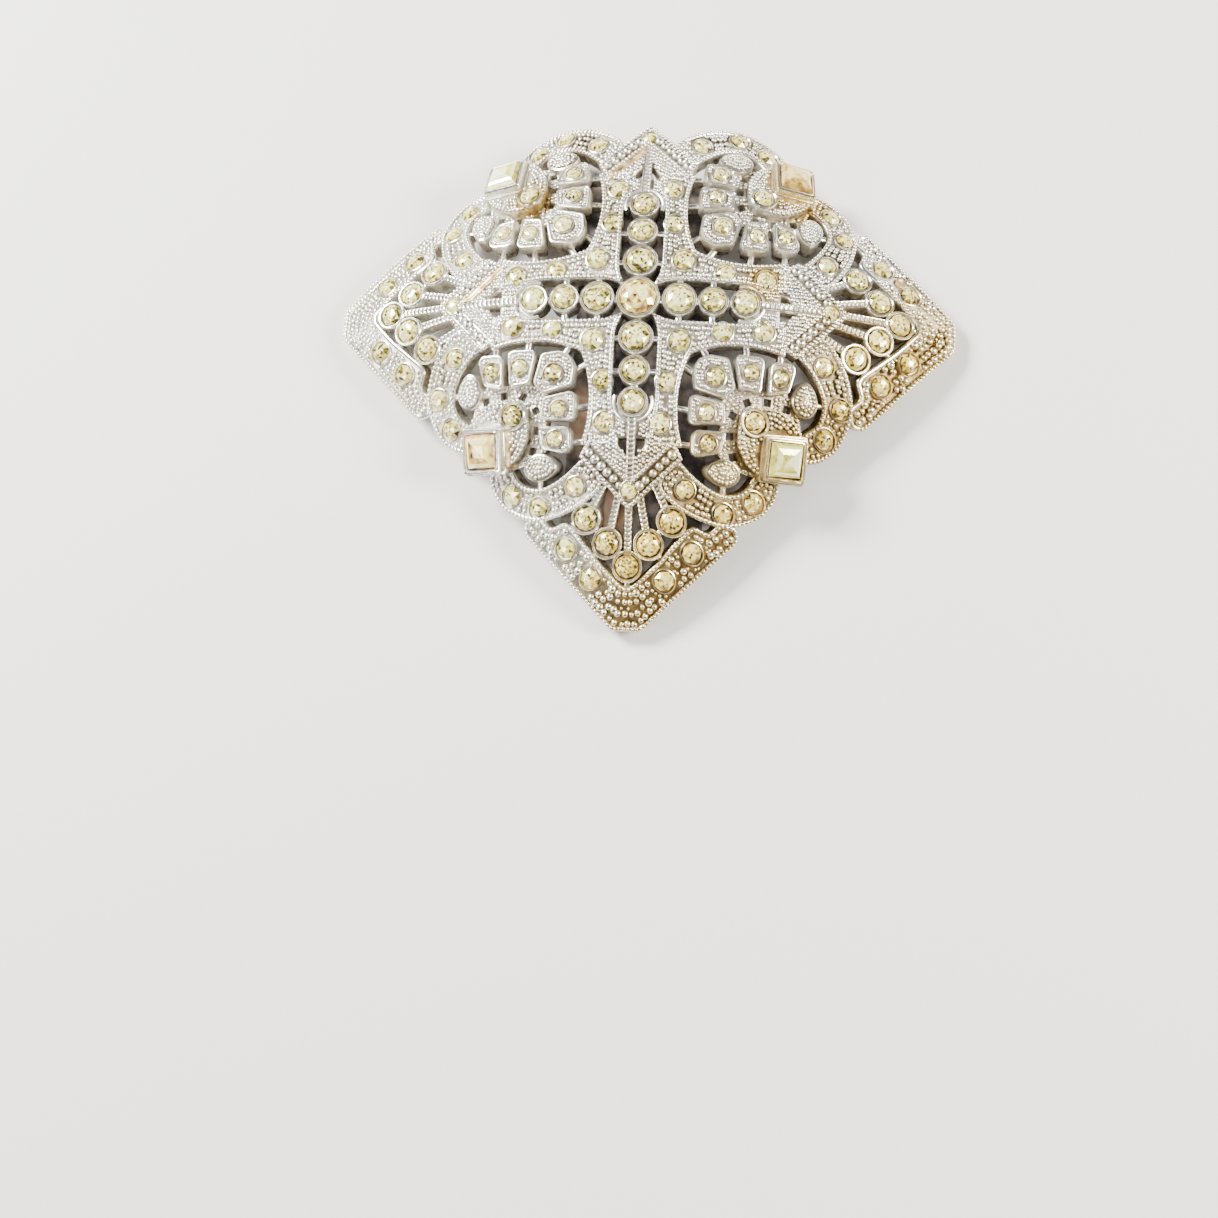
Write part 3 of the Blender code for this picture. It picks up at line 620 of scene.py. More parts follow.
def cast_metal(name):
    """Colour = mix(silver ramp, golden ramp, how golden the place is), both read at the amount of
    tarnish and painted shade = hollow x lightening + patches + spots + specks.  The lightening
    is painted light on the left and in one spot of the bottom tip, and the right tip is lighter."""
    made, node = new_material(name)
    place = node("ShaderNodeTexCoord").outputs["Object"]
    wear_and_painted_shade = node("ShaderNodeAttribute", attribute_name="wear_and_painted_shade").outputs["Fac"]
    patches = noise(node, place, scale=130.0, detail=3.0)
    specks = noise(node, place, scale=1800.0, detail=2.0)
    # Tarnish and painted shade in the hollows.
    hollow = maths(node, "MULTIPLY", maths(node, "SUBTRACT", 1.0, wear_and_painted_shade), HOLLOW_TARNISH_AND_SHADE)
    x = node("ShaderNodeSeparateXYZ", {0: place}).outputs["X"]
    left, right = between(node, x, *LEFT_PAINTED_LIGHT), between(node, x, *RIGHT_LIGHTER)
    lightening = maths(node, "MULTIPLY", left, right)
    painted_spot_light = maths(node, "MULTIPLY", spot_share(node, place, *PAINTED_LIGHT_SPOT), SPOT_LIGHTENING)
    lightening = maths(node, "MULTIPLY", lightening, maths(node, "ADD", 1.0, painted_spot_light))
    tarnish_and_shade = maths(node, "MULTIPLY", hollow, lightening)
    tarnish_and_shade = maths(node, "ADD", tarnish_and_shade, swing(node, patches, PATCH_TARNISH))
    for spot in DARKER_SPOTS:
        darker = maths(node, "MULTIPLY", spot_share(node, place, *spot), SPOT_DARKENING)
        tarnish_and_shade = maths(node, "ADD", tarnish_and_shade, darker)
    tarnish_and_shade = maths(node, "ADD", tarnish_and_shade, swing(node, specks, SPECK_TARNISH), clamp=True)
    golden = lower_right_share(node, place, GOLDEN_START, GOLDEN_END)
    golden = maths(node, "ADD", golden, swing(node, patches, GOLDEN_CLOUDS), clamp=True)
    for spot in GOLDEN_SPOTS:
        golden = maths(node, "ADD", golden, spot_share(node, place, *spot), clamp=True)
    colour = mixed(node, golden, ramp(node, tarnish_and_shade, SILVER), ramp(node, tarnish_and_shade, GOLDEN))
    roughness = between(node, tarnish_and_shade, 0.0, 0.9, low=0.2, high=0.6)
    lay_metal(node, colour, roughness, metallic=0.97, relief=specks, strength=0.4, depth=0.00006)
    return made


metal = cast_metal("cast_white_metal")
print("finish:", metal.name)

# %% [markdown]
# ## From a table to a Blender object
#
# Every piece goes through one function.  It bends the points over the dome, turns millimetres into
# metres, fills the mesh, and hangs the piece on the clip's root empty, so that it stays with the
# clip.

# %% Add a piece
SHARP_ANGLE = 38


def add_piece(name, shape, material, stands_for=(), bend=True, sharp=SHARP_ANGLE,
              faces_painted_light=None):
    """Makes the object, smooths all but its sharp edges, and stores the wear and painted shade of
    its points, and the painted light of its faces where given.
    """
    points = (on_dome(shape.points) if bend else shape.points) / 1000 + DOME_TOP
    mesh = bpy.data.meshes.new(name)
    mesh.from_pydata(points, [], [face for table in shape.faces for face in table.tolist()])
    if faces_painted_light is not None:
        mesh.attributes.new("painted_facet_light", "FLOAT", "FACE").data.foreach_set("value", faces_painted_light)
    mesh.attributes.new("wear_and_painted_shade", "FLOAT", "POINT").data.foreach_set("value", shape.wear_and_painted_shade)
    work = bmesh.new()
    work.from_mesh(mesh)
    bmesh.ops.recalc_face_normals(work, faces=work.faces)
    work.to_mesh(mesh)
    work.free()
    if sharp:
        mesh.shade_smooth()
        mesh.set_sharp_from_angle(angle=radians(sharp))
    mesh.materials.append(material)
    piece = bpy.data.objects.new(name, mesh)
    bpy.context.collection.objects.link(piece)
    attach(piece, "root")
    if stands_for:
        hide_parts(*stands_for)
    print(f"{name}: {sum(len(face.vertices) - 2 for face in mesh.polygons)} triangles")


def add_metal(name, shape, material=metal, sharp=SHARP_ANGLE):
    """A piece that stands for part of the casting."""
    add_piece(name, shape, material, ("casting",), sharp=sharp)


# %% [markdown]
# ## Rubbed strips
#
# Three narrow strips and one shallow hollow are smooth and tan, because the plating is rubbed
# through there to the warmer metal below.  They get a finish of their own, which is simpler than a
# mask in the main finish.

# %% The rubbed strips' finish
TAN = [
    (0.32, (0.12, 0.075, 0.03)), (0.46, (0.38, 0.26, 0.11)), (0.58, (0.58, 0.44, 0.22)),
    (0.72, (0.82, 0.71, 0.45)),
]


def rubbed_metal(name):
    """Tan metal with paler and darker specks, from one noise."""
    made, node = new_material(name)
    place = node("ShaderNodeTexCoord").outputs["Object"]
    specks = noise(node, place, scale=1500.0, detail=3.0)
    colour = ramp(node, specks, TAN)
    lay_metal(node, colour, 0.42, metallic=0.7, relief=specks, strength=0.4, depth=0.00005)
    return made


tan_metal = rubbed_metal("rubbed_tan_metal")
print("finish:", tan_metal.name)

# %% [markdown]
# ## Where the stones sit
#
# The places of the stones are part of the casting's drawing.  They come first, because the shot has
# to leave room for them.  The tops of the casting's parts are at different heights above the dome.

# %% Places of the stones
RIBBON_TOP, RING_TOP, FRAME_TOP, CHEVRON_TOP = 0.0, -0.08, -0.04, 0.12
LEAF_TOP, PETAL_TOP, BOSS_TOP, COLLAR_TOP = 0.5, 0.9, 0.82, -0.15
PETAL_FIELD = PETAL_TOP - 0.06

CROSS_PLACES = plan([(19.5, 0), (35.5, 0), (50.5, 0)])
BOSS_PLACE = plan([(56.0, 56.0)])[0]
SQUARE_PLACE = plan([(SQUARE_AT, SQUARE_AT)])[0]

# Each row is a place and a radius.  A plan table gives the radius in hundredths too.
RIBBON_STONES = plan([(40.5, 15, 4.6), (60, 13, 4.8)])
RING_STONES = plan([(89, 26, 4.4), (97.5, 44, 4.6), (90.5, 58, 4.8)])
INNER_PETAL_STONE = plan([(54, 34, 3.7)])
OUTER_PETAL_STONE = plan([(67.5, 35, 3.8)])
CORNER_STONE = np.array([[20.6 * PERCENT, 20.6 * PERCENT, 0.98]])
MIDDLE_PETAL_STONE = np.array([[37.6 * PERCENT, 37.6 * PERCENT, 0.82]])
APEX_STONE = np.array([[91 * PERCENT, 0, 0.76]])
FRAME_STONES = np.column_stack([fan_plan([(0.31, 30), (0.565, 17.5)]), [0.92, 0.92]])

set_stones = np.vstack([
    lifted(places, height) for places, height in (
        (places_round(RIBBON_STONES, both_sides=True), RIBBON_TOP),
        (places_round(RING_STONES, both_sides=True), RING_TOP),
        (places_round(INNER_PETAL_STONE, both_sides=True), PETAL_FIELD),
        (places_round(OUTER_PETAL_STONE, both_sides=True), PETAL_FIELD),
        (places_round(CORNER_STONE), RIBBON_TOP),
        (places_round(MIDDLE_PETAL_STONE), PETAL_FIELD),
        (places_round(APEX_STONE), CHEVRON_TOP),
        (places_round(FRAME_STONES, FANS, both_sides=True), FRAME_TOP),
    )
])
print("set stones:", len(set_stones))

# %% [markdown]
# ## Room for the stones, and the moulded rim
#
# Shot must not grow into a stone, so each stone gives a disc to keep out of.  All broad bands of
# the casting share one rim: a wall, a rounded edge, and a small step down to their field.  A rope
# of milgrain runs along its crest.

# %% Discs to keep clear, and the rim
RIM_CREST, CREST_HEIGHT = 0.21, 0.12        # in from the wall, and above the field


def clear_of(stones, extra):
    """Discs that shot keeps out of: each stone's place, and its radius with room for the collar."""
    return [(x, y, radius + extra) for x, y, radius in stones]


def underside(step=0):
    """Height of the back of one kind of piece.  Each kind starts 0.01 mm above the kind before it,
    so that no two backs lie in one plane."""
    return BACK + step / 100


def rim_profile(top, step=0):
    """A wall, a rounded rim 0.42 mm wide, and the step down to the field."""
    # The wall's low wear numbers paint shade on it, so the walls look dark.
    return [
        (0.0, underside(step), 0.0), (0.0, top - 0.3, 0.1), (0.0, top - 0.02, 0.5),
        (0.04, top + 0.09, 0.85), (0.12, top + 0.15, 1.0), (0.3, top + 0.15, 1.0),
        (0.38, top + 0.09, 0.8), (0.42, top, 0.12),
    ]


def rim_milgrain(corners, top, reach, keep=None):
    """Milgrain along the crest of such a rim."""
    return milgrain(corners, RIM_CREST, top + CREST_HEIGHT, reach, keep=keep)


print("rim of a ribbon:", len(rim_profile(RIBBON_TOP)), "points")

# %% [markdown]
# ## Ribbons
#
# Four L-shaped ribbons make the cross.  Each runs along two arms with a straight inner side and a
# hollow outer side, and turns round the corner stone near the centre.
#
# The outer side is an arc, v = c - sqrt(r^2 - (u - w)^2), up to the place where it meets its
# mirror image on the diagonal.

# %% Ribbons
RIBBON_WAIST = 4.0          # from the arm's middle line to the outer side where it is narrowest
RIBBON_ARC = 11.6           # radius of the outer side
WAIST_AT = 50.5 * PERCENT
ARC_POINTS = 12
RIBBON_CORNER = 0.3         # reach of the rounding at a corner


def ribbon_corners():
    """One ribbon's outline: inner side, end, the arc up to the diagonal, and the mirror image."""
    inner = plan([
        (6.5, 6.5), (13, 9.4), (17.5, 10.21), (33, 10.21), (49, 10.21), (58, 9.0), (67, 7.8),
    ])
    end = plan([(70.5, 9)])
    centre = RIBBON_WAIST + RIBBON_ARC
    half_sum = (WAIST_AT + centre) / 2
    meeting = half_sum - sqrt(half_sum**2 - (WAIST_AT**2 + centre**2 - RIBBON_ARC**2) / 2)
    u = np.linspace(end[0, 0], meeting, ARC_POINTS)
    outer = np.stack([u, centre - np.sqrt(RIBBON_ARC**2 - (u - WAIST_AT) ** 2)], axis=1)
    half = np.vstack([inner, end, outer])
    return np.vstack([half, half[1:-1][::-1, ::-1]])


ribbon = ribbon_corners()
print("points in a ribbon's outline:", len(ribbon))

# %% [markdown]
# The outline becomes a block with a rim.  Milgrain runs along the rim, and shot of two sizes fills
# the field: large balls in rows first, then fine grains in the gaps that are left.

# %% Ribbons with their milgrain and shot
ribbon_stones = np.vstack([RIBBON_STONES, RIBBON_STONES[:, [1, 0, 2]], CORNER_STONE])
add_metal("ribbons", all_round(block(ribbon, rim_profile(RIBBON_TOP), RIBBON_CORNER)))
add_metal("ribbon_milgrain", all_round(rim_milgrain(ribbon, RIBBON_TOP, RIBBON_CORNER)))
ribbon_shot = shot_rows(
    ribbon, RIBBON_CORNER, first=0.64, pitch=0.47, stones=clear_of(ribbon_stones, 0.4))
add_metal("ribbon_shot", shot(places_round(ribbon_shot), RIBBON_TOP, radius=0.25))
ribbon_grains = grains(
    ribbon, RIBBON_CORNER, margin=0.52, pitch=0.3, stones=clear_of(ribbon_stones, 0.3),
    balls=ribbon_shot, clear=0.37)
add_metal("ribbon_grains", shot(places_round(ribbon_grains), RIBBON_TOP, radius=0.14))

# %% [markdown]
# ## Rings
#
# A curved band closes each corner of the clip on both sides of the square stone.  It is a block
# like the ribbons, with three stones and two rows of shot.

# %% Rings
RING = plan([
    (84, 13.5), (90, 12.5), (96, 20), (101, 29), (104, 42), (102.5, 51.5), (97.5, 61.5),
    (89, 68.5), (78.5, 71), (78, 58.5), (83.5, 55.5), (87.5, 51.5), (89.5, 44), (87, 36.5),
    (82.5, 29.5), (74.5, 21.5),
])
RING_CORNER = 0.9

ring_block = block(RING, rim_profile(RING_TOP, step=1), RING_CORNER)
add_metal("rings", all_round(ring_block, both_sides=True))
ring_rope = rim_milgrain(RING, RING_TOP, RING_CORNER)
add_metal("ring_milgrain", all_round(ring_rope, both_sides=True))
ring_shot = shot_rows(RING, RING_CORNER, first=0.66, pitch=0.49, stones=clear_of(RING_STONES, 0.42))
add_metal("ring_shot", shot(places_round(ring_shot, both_sides=True), RING_TOP, radius=0.26))
ring_grains = grains(
    RING, RING_CORNER, margin=0.52, pitch=0.3, stones=clear_of(RING_STONES, 0.3),
    balls=ring_shot, clear=0.38)
add_metal("ring_grains", shot(places_round(ring_grains, both_sides=True), RING_TOP, radius=0.14))

# %% [markdown]
# ## Arm ends
#
# Each arm ends in a chevron with a stone in its point and a row of large beads down each side.
# The beads are larger and stand higher than the shot, so they get a row of their own.

# %% Chevrons
CHEVRON = mirrored_half(plan([(100, 0), (75.5, 24.5), (67, 19.5), (86.5, 0)]))
CHEVRON_CORNER = 0.06

chevron_block = block(CHEVRON, rim_profile(CHEVRON_TOP, step=2), CHEVRON_CORNER, steps=3)
add_metal("chevrons", all_round(chevron_block))
add_metal("chevron_milgrain", all_round(rim_milgrain(CHEVRON, CHEVRON_TOP, CHEVRON_CORNER)))
bead_row = places_round(straight(*plan([(88.8, 4.7), (74.1, 19.4)]), pitch=0.8), both_sides=True)
add_metal("chevron_beads", shot(bead_row, CHEVRON_TOP + 0.03, radius=0.46))

# %% [markdown]
# ## Slopes inside the chevrons
#
# Behind the chevron the metal slopes down to two drop-shaped holes, and a plain block carries the
# end of the row of bezels.  Two low blocks make the slope, because one outline can't turn round the
# holes without crossing itself.

# %% Slopes and arm blocks
SLOPE = plan([
    (84, 0.5), (68, 17.5), (65.5, 14), (65, 6.4), (67.5, 5.9), (69.6, 6.3), (71.6, 5.0), (74, 2.9),
    (78, 1.0),
])
ARM_END = mirrored_half(plan([(100, 0), (75.5, 24.5), (69, 20.7), (66.5, 14), (81.5, 1)]))
ARM_BLOCK = mirrored_half(plan([(50.5, 11), (67.2, 8.5)]))

end_profile = [(0.0, underside(3), 0.2), (0.0, 0.02, 0.4), (0.1, 0.08, 0.6)]
slope_profile = [
    (0.0, underside(3), 0.2), (0.0, -0.35, 0.4), (0.14, -0.12, 0.85), (0.4, 0.06, 0.7),
]
block_profile = [
    (0.0, underside(4), 0.0), (0.0, -0.16, 0.3), (0.12, -0.06, 0.5), (0.35, -0.06, 0.2),
]
add_metal("arm_slopes", joined([
    all_round(block(ARM_END, end_profile, reach=0.1, steps=3)),
    all_round(block(SLOPE, slope_profile, reach=0.3, steps=4), both_sides=True),
]))
add_metal("arm_blocks", all_round(block(ARM_BLOCK, block_profile, reach=0.2, steps=3)))

# %% [markdown]
# Grains of one size cover the slopes and the blocks.  They lie on the triangular grid, because rows
# that follow so small an outline would bunch up in its corners.

# %% Grains on the slopes and blocks
SLOPE_FIELD = plan([
    (88.4, 0.9), (69.4, 19.9), (65.5, 14), (65, 6.4), (69.6, 6.3), (74, 2.9), (78, 1.2),
])
STEM_CLEAR = 0.5
slope_grains = grains(
    SLOPE_FIELD, reach=0.2, margin=0.12, pitch=0.39, stones=[], balls=plan([(84, 0)]), clear=0.4)
block_grains = grains(
    ARM_BLOCK, reach=0.2, margin=0.12, pitch=0.37, stones=[(*CROSS_PLACES[-1], 1.9)],
    balls=plan([(62, 0)]), clear=0.3)
off_the_stem = block_grains[np.abs(block_grains[:, 1]) > STEM_CLEAR]
add_metal("slope_shot", joined([
    shot(places_round(slope_grains, both_sides=True), 0.07, radius=0.2),
    shot(places_round(off_the_stem), -0.05, radius=0.19),
]))

# %% [markdown]
# ## Arches
#
# A small round-backed arch holds the last bezel of each row.  It is a profile carried along an arc
# about the bezel's middle, from 109 degrees on one side to 109 degrees on the other.

# %% Arches
ARCH_RADIUS, ARCH_ANGLE, ARCH_POINTS = 1.72, 1.9, 28
round_section = whole_section([
    (0.18, -1.2, 0, 0.0), (0.18, 0.0, 0, 0.2), (0.12, 0.11, 0, 0.65), (0.0, 0.16, 0, 0.75),
])
arch_turn = np.linspace(-ARCH_ANGLE, ARCH_ANGLE, ARCH_POINTS)
arch_path = CROSS_PLACES[-1] + ARCH_RADIUS * on_circle(arch_turn)
add_metal("arm_arches", all_round(swept(arch_path, round_section)))

# %% [markdown]
# ## Strips inside two chevrons
#
# In the left and the top chevron one side of the slope carries a long tan strip with a raised edge
# and a groove.  It is a block of its own in the tan finish, laid over the slope.

# %% Rubbed strips in the left and the top chevron
STRIP = plan([(88.4, 1.0), (69.4, 20.0), (66.2, 16.6), (81.8, 1.0)])
strip_profile = [
    (0.0, underside(5), 0.2), (0.0, 0.27, 0.5), (0.06, 0.36, 0.9), (0.16, 0.37, 0.9),
    (0.22, 0.25, 0.3), (0.3, 0.33, 0.8), (0.36, 0.33, 0.6),
]
strip = block(STRIP, strip_profile, reach=0.05, steps=3)
strips = joined([
    Shape(turned(strip.points * (1, side, 1), arm), strip.faces, strip.wear_and_painted_shade)
    for arm, side in ((LEFT, -1), (TOP, 1))
])
add_metal("chevron_strips", strips, tan_metal)

# %% [markdown]
# ## Ribbed stems
#
# The stems of the fans are ribbed crosswise between two thin edges, like a twisted wire that was
# pressed flat.  The profile is carried along each stem, and its middle rises and falls as a wave.

# %% Stems
STEM_STEP, RIB_HEIGHT = 0.1, 0.16


def stem_section(width, top):
    """Wall, thin edge, groove and ribbed middle, and the same back down."""
    half = width / 2
    return whole_section([
        (half, underside(5), 0, 0.2), (half, top - 0.08, 0, 0.5), (half * 0.86, top, 0, 1.0),
        (half * 0.66, top - 0.02, 0, 0.9), (half * 0.52, top - 0.13, 1, 0.7),
        (0.0, top - 0.11, 1, 0.9),
    ])


def whole_fan(half):
    """Five places from three: the last two are mirrored in the arm's line."""
    return np.vstack([half[::-1], half[1:] * (1, -1)])


fan_places = whole_fan(fan_plan([(0.463, 0), (0.274, 9.75), (0.068, 20.1)]))
stem_roots = whole_fan(plan([(97, 0), (93, 5), (87, 11.5)]))
fan_section = stem_section(width=0.7, top=0.1)
stems = joined([
    swept(straight(root, place, STEM_STEP), fan_section, rib_pitch=0.4, rib_height=RIB_HEIGHT)
    for root, place in zip(stem_roots, fan_places)
])
add_metal("fan_stems", all_round(stems, FANS), sharp=60)
arm_line = straight(*plan([(58, 0), (88, 0)]), STEM_STEP)
arm_section = stem_section(width=0.78, top=0.24)
arm_stem = swept(arm_line, arm_section, rib_pitch=0.42, rib_height=RIB_HEIGHT)
add_metal("arm_stems", all_round(arm_stem), sharp=60)

# %% [markdown]
# ## Fan frames
#
# A broad V frames each fan, with steps in its inner side.  It is one outline again, half of it in a
# table.  Its milgrain doesn't run all round everywhere, so two tests come with it: each says which
# beads lie near one edge.

# %% Frame outline and its edges
FRAME = mirrored_half(fan_plan([
    (1.0, 7.5), (0.178, 51), (0.119, 51.5), (0.04, 50.5), (0.03, 42), (0.109, 39), (0.129, 37),
    (0.084, 30.5), (0.124, 27), (0.406, 14.5), (0.51, 9), (0.634, 1.5),
]))
FRAME_CORNER = 0.35
NEAR_OUTSIDE, NEAR_INSIDE = 0.4, 0.5


def outer_edge_only(points):
    """True for beads near the frame's two long outer sides and its blunt end."""
    outside = fan_plan([(0.178, -51), (1.0, -7.5), (1.0, 7.5), (0.178, 51)])
    return gap_to_sides(points, outside[:-1], np.diff(outside, axis=0)) < NEAR_OUTSIDE


def inner_edge_above(points):
    """True for beads near the inner side of the frame above the arm's line."""
    inside = fan_plan([(0.129, 36), (0.56, 6)])
    return gap_to_sides(points, inside[:-1], np.diff(inside, axis=0)) < NEAR_INSIDE


print("points in a frame's outline:", len(FRAME))

# %% [markdown]
# The outer edge of each frame carries milgrain.  On the side tips the inner edge has it on the
# upper half alone, and on the bottom tip all round.
#
# The milgrain is laid round the whole outline each time, and a test then keeps what shows.

# %% Frames with their milgrain
frame_block = block(FRAME, rim_profile(FRAME_TOP, step=6), FRAME_CORNER)
add_metal("fan_frames", all_round(frame_block, FANS))
outer_rope = rim_milgrain(FRAME, FRAME_TOP, FRAME_CORNER, keep=outer_edge_only)
whole_rope = rim_milgrain(FRAME, FRAME_TOP, FRAME_CORNER)
inner_rope = rim_milgrain(FRAME, FRAME_TOP, FRAME_CORNER, keep=inner_edge_above)
left_rope = Shape(turned(inner_rope.points * (1, -1, 1), LEFT), inner_rope.faces, inner_rope.wear_and_painted_shade)
add_metal("frame_milgrain", joined([
    all_round(outer_rope, (RIGHT, LEFT)), all_round(whole_rope, (BOTTOM,)), inner_rope, left_rope,
]))

# %% [markdown]
# ## Shot on the frames, and one bare hollow
#
# The right and the bottom frame have coarse, very uneven shot with grains between.  The left
# frame's shot is finer.  Between two stones of the right tip the shot is missing, and a shallow tan
# hollow with a low rim shows in its place.

# %% Frame shot and the hollow
frame_stones = places_round(FRAME_STONES, (RIGHT,), both_sides=True)
grain_clear = clear_of(frame_stones, 0.32)
coarse_shot = shot_rows(
    FRAME, FRAME_CORNER, first=0.72, pitch=0.62, stones=clear_of(frame_stones, 0.5))
coarse_grains = grains(
    FRAME, FRAME_CORNER, margin=0.55, pitch=0.36, stones=grain_clear, balls=coarse_shot, clear=0.46)
fine_shot = shot_rows(
    FRAME, FRAME_CORNER, first=0.64, pitch=0.46, stones=clear_of(frame_stones, 0.4))
fine_grains = grains(
    FRAME, FRAME_CORNER, margin=0.52, pitch=0.34, stones=grain_clear, balls=fine_shot, clear=0.38)
HOLLOW_PLACE = 0.38 * FRAME_STONES[0, :2] + 0.62 * FRAME_STONES[1, :2] + (0.15, 0.45)
HOLLOW_CLEAR = 0.75


def coarse_places(places):
    """Copies on the right and the bottom frame, apart from those in the hollow."""
    places = places_round(places, (RIGHT, BOTTOM))
    return places[np.hypot(*(places - HOLLOW_PLACE).T) > HOLLOW_CLEAR]


add_metal("frame_shot", joined([
    shot(coarse_places(coarse_shot), FRAME_TOP, radius=0.34, uneven=1.9),
    shot(coarse_places(coarse_grains), FRAME_TOP, radius=0.16),
    shot(places_round(fine_shot, (LEFT,)), FRAME_TOP, radius=0.23),
    shot(places_round(fine_grains, (LEFT,)), FRAME_TOP, radius=0.15),
]))
dish = turned_ring([
    (0.56, -0.4, 0.1), (0.56, 0.06, 0.3), (0.5, 0.12, 0.4), (0.43, 0.11, 0.3), (0.34, 0.02, 0.15),
    (0.1, -0.02, 0.2),
], 24)
add_metal("tip_hollow", scattered(dish, [(*HOLLOW_PLACE, FRAME_TOP)], 1.0), tan_metal)

# %% [markdown]
# ## Collars with square holes
#
# A flat collar joins the petals round each boss.  Six small square holes pierce it, turned to
# follow the ring of petals.  A polygon with holes is filled by Blender's own tessellation.

# %% Collars
SMALL_HOLE = 0.7
COLLAR = mirrored_half(plan([
    (80, 59), (78.5, 52.5), (76.5, 46), (71, 39.8), (62, 41.2), (47.5, 41), (43.5, 43.5),
]), diagonal=True)
COLLAR_CORNER = 0.3
HOLE_PLACES = plan([(72.2, 47.8), (63, 45.9), (53.5, 46.9)])


def pierced_plate(outline, holes, bottom, top):
    """A flat plate: the filled outline at two heights, joined by walls round it and round each
    hole."""
    loops = [outline, *holes]
    flat = np.vstack(loops)
    triangles = np.array(tessellate_polygon([[Vector((*p, 0)) for p in loop] for loop in loops]))
    count = len(flat)
    walls, start = [], 0
    for loop in loops:
        number = start + np.arange(len(loop))
        ahead = np.roll(number, -1)
        walls.append(np.stack([number, ahead, ahead + count, number + count], axis=1))
        start += len(loop)
    points = np.vstack([lifted(flat, bottom), lifted(flat, top)])
    wear_and_painted_shade = np.repeat([0.2, 0.6], count)
    return Shape(points, [triangles[:, ::-1], triangles + count, np.vstack(walls)], wear_and_painted_shade)


def square(centre, side, direction=0.0):
    """A square with its sides turned to a direction."""
    turn = direction + pi / 4 + pi / 2 * np.arange(4)
    return np.asarray(centre) + side / sqrt(2) * on_circle(turn)


hole_ring = np.vstack([HOLE_PLACES, HOLE_PLACES[::-1, ::-1]])
hole_direction = np.arctan2(*np.gradient(hole_ring, axis=0).T[::-1])
holes = [square(place, SMALL_HOLE, turn) for place, turn in zip(hole_ring, hole_direction)]
collar_plate = pierced_plate(rounded(COLLAR, COLLAR_CORNER), holes, underside(7), COLLAR_TOP)
add_metal("collars", all_round(collar_plate))

# %% [markdown]
# ## Petals and leaves
#
# Five petals stand round each boss, with a leaf at each end of the row.  The middle petal lies on
# the quadrant's diagonal, so half its outline is enough.

# %% Outlines of petals and leaves
OUTER_PETAL = plan([(62, 29.5), (64.5, 27.5), (72.5, 27.5), (74.5, 30), (71.5, 41), (61.5, 43.5)])
INNER_PETAL = plan([(46, 28.5), (47.5, 26), (58, 26), (60, 27.5), (58.5, 43), (48.5, 42)])
MIDDLE_PETAL = mirrored_half(
    plan([(47, 42), (43.5, 28), (34.5, 27), (29.5, 29.5)]), diagonal=True)
LEAF = plan([
    (80.5, 33.5), (75.5, 36.5), (72.6, 44.5), (76.5, 50.8), (82.5, 51), (86.6, 45), (84.8, 38),
])
PETAL_CORNER, LEAF_CORNER = 0.3, 0.6

print("petal outlines:", len(OUTER_PETAL), len(INNER_PETAL), len(MIDDLE_PETAL), "leaf:", len(LEAF))

# %% [markdown]
# Each petal is a loaf with smooth walls and a double ridge round its top.  It is a block like the
# bands, with a taller profile.  Its walls draw in towards the foot and are painted dark there as
# painted shade, so that dark gaps show between neighbours.

# %% Petals
petal_profile = [
    (0.3, underside(8), 0.0), (0.26, PETAL_TOP - 1.35, 0.0), (0.0, PETAL_TOP - 1.15, 0.1),
    (0.0, PETAL_TOP - 0.12, 0.6), (0.04, PETAL_TOP, 0.95), (0.1, PETAL_TOP + 0.01, 1.0),
    (0.15, PETAL_TOP - 0.06, 0.3), (0.2, PETAL_TOP, 0.95), (0.25, PETAL_TOP - 0.01, 0.9),
    (0.3, PETAL_TOP - 0.09, 0.15),
]
petals = [block(corners, petal_profile, PETAL_CORNER) for corners in (OUTER_PETAL, INNER_PETAL)]
add_metal("side_petals", all_round(joined(petals), both_sides=True))
add_metal("middle_petals", all_round(block(MIDDLE_PETAL, petal_profile, PETAL_CORNER)))


def petal_rows(corners, stone):
    """Plan places of the shot on one petal."""
    return shot_rows(
        corners, PETAL_CORNER, first=0.42, pitch=0.33, stones=clear_of(stone, 0.34), gap=0.85)


side_rows = np.vstack([
    petal_rows(OUTER_PETAL, OUTER_PETAL_STONE), petal_rows(INNER_PETAL, INNER_PETAL_STONE),
])
middle_rows = petal_rows(MIDDLE_PETAL, MIDDLE_PETAL_STONE)
petal_places = np.vstack([places_round(side_rows, both_sides=True), places_round(middle_rows)])
add_metal("petal_shot", shot(petal_places, PETAL_TOP - 0.08, radius=0.18))

# %% [markdown]
# The leaf is domed.  Its block has a crown: beyond the rim the outline shrinks about its middle
# while it rises.  Fine shot covers it, and each ball is raised by its distance from the edge, up to
# the crown's height.

# %% Leaves
leaf_profile = [
    (0.0, underside(9), 0.0), (0.0, LEAF_TOP - 0.3, 0.4), (0.07, LEAF_TOP - 0.1, 0.95),
    (0.17, LEAF_TOP - 0.06, 1.0), (0.25, LEAF_TOP - 0.14, 0.3), (0.32, LEAF_TOP - 0.1, 0.4),
]
leaf_crown = [
    (0.7, LEAF_TOP + 0.02, 0.5), (0.35, LEAF_TOP + 0.08, 0.6), (0.05, LEAF_TOP + 0.1, 0.6),
]
leaf_block = block(LEAF, leaf_profile, LEAF_CORNER, leaf_crown)
add_metal("leaves", all_round(leaf_block, both_sides=True))
leaf_rows = shot_rows(LEAF, LEAF_CORNER, first=0.42, pitch=0.34, stones=[], gap=0.88)
leaf_depth = gap_to_outline(leaf_rows, rounded(anticlockwise(LEAF), LEAF_CORNER))
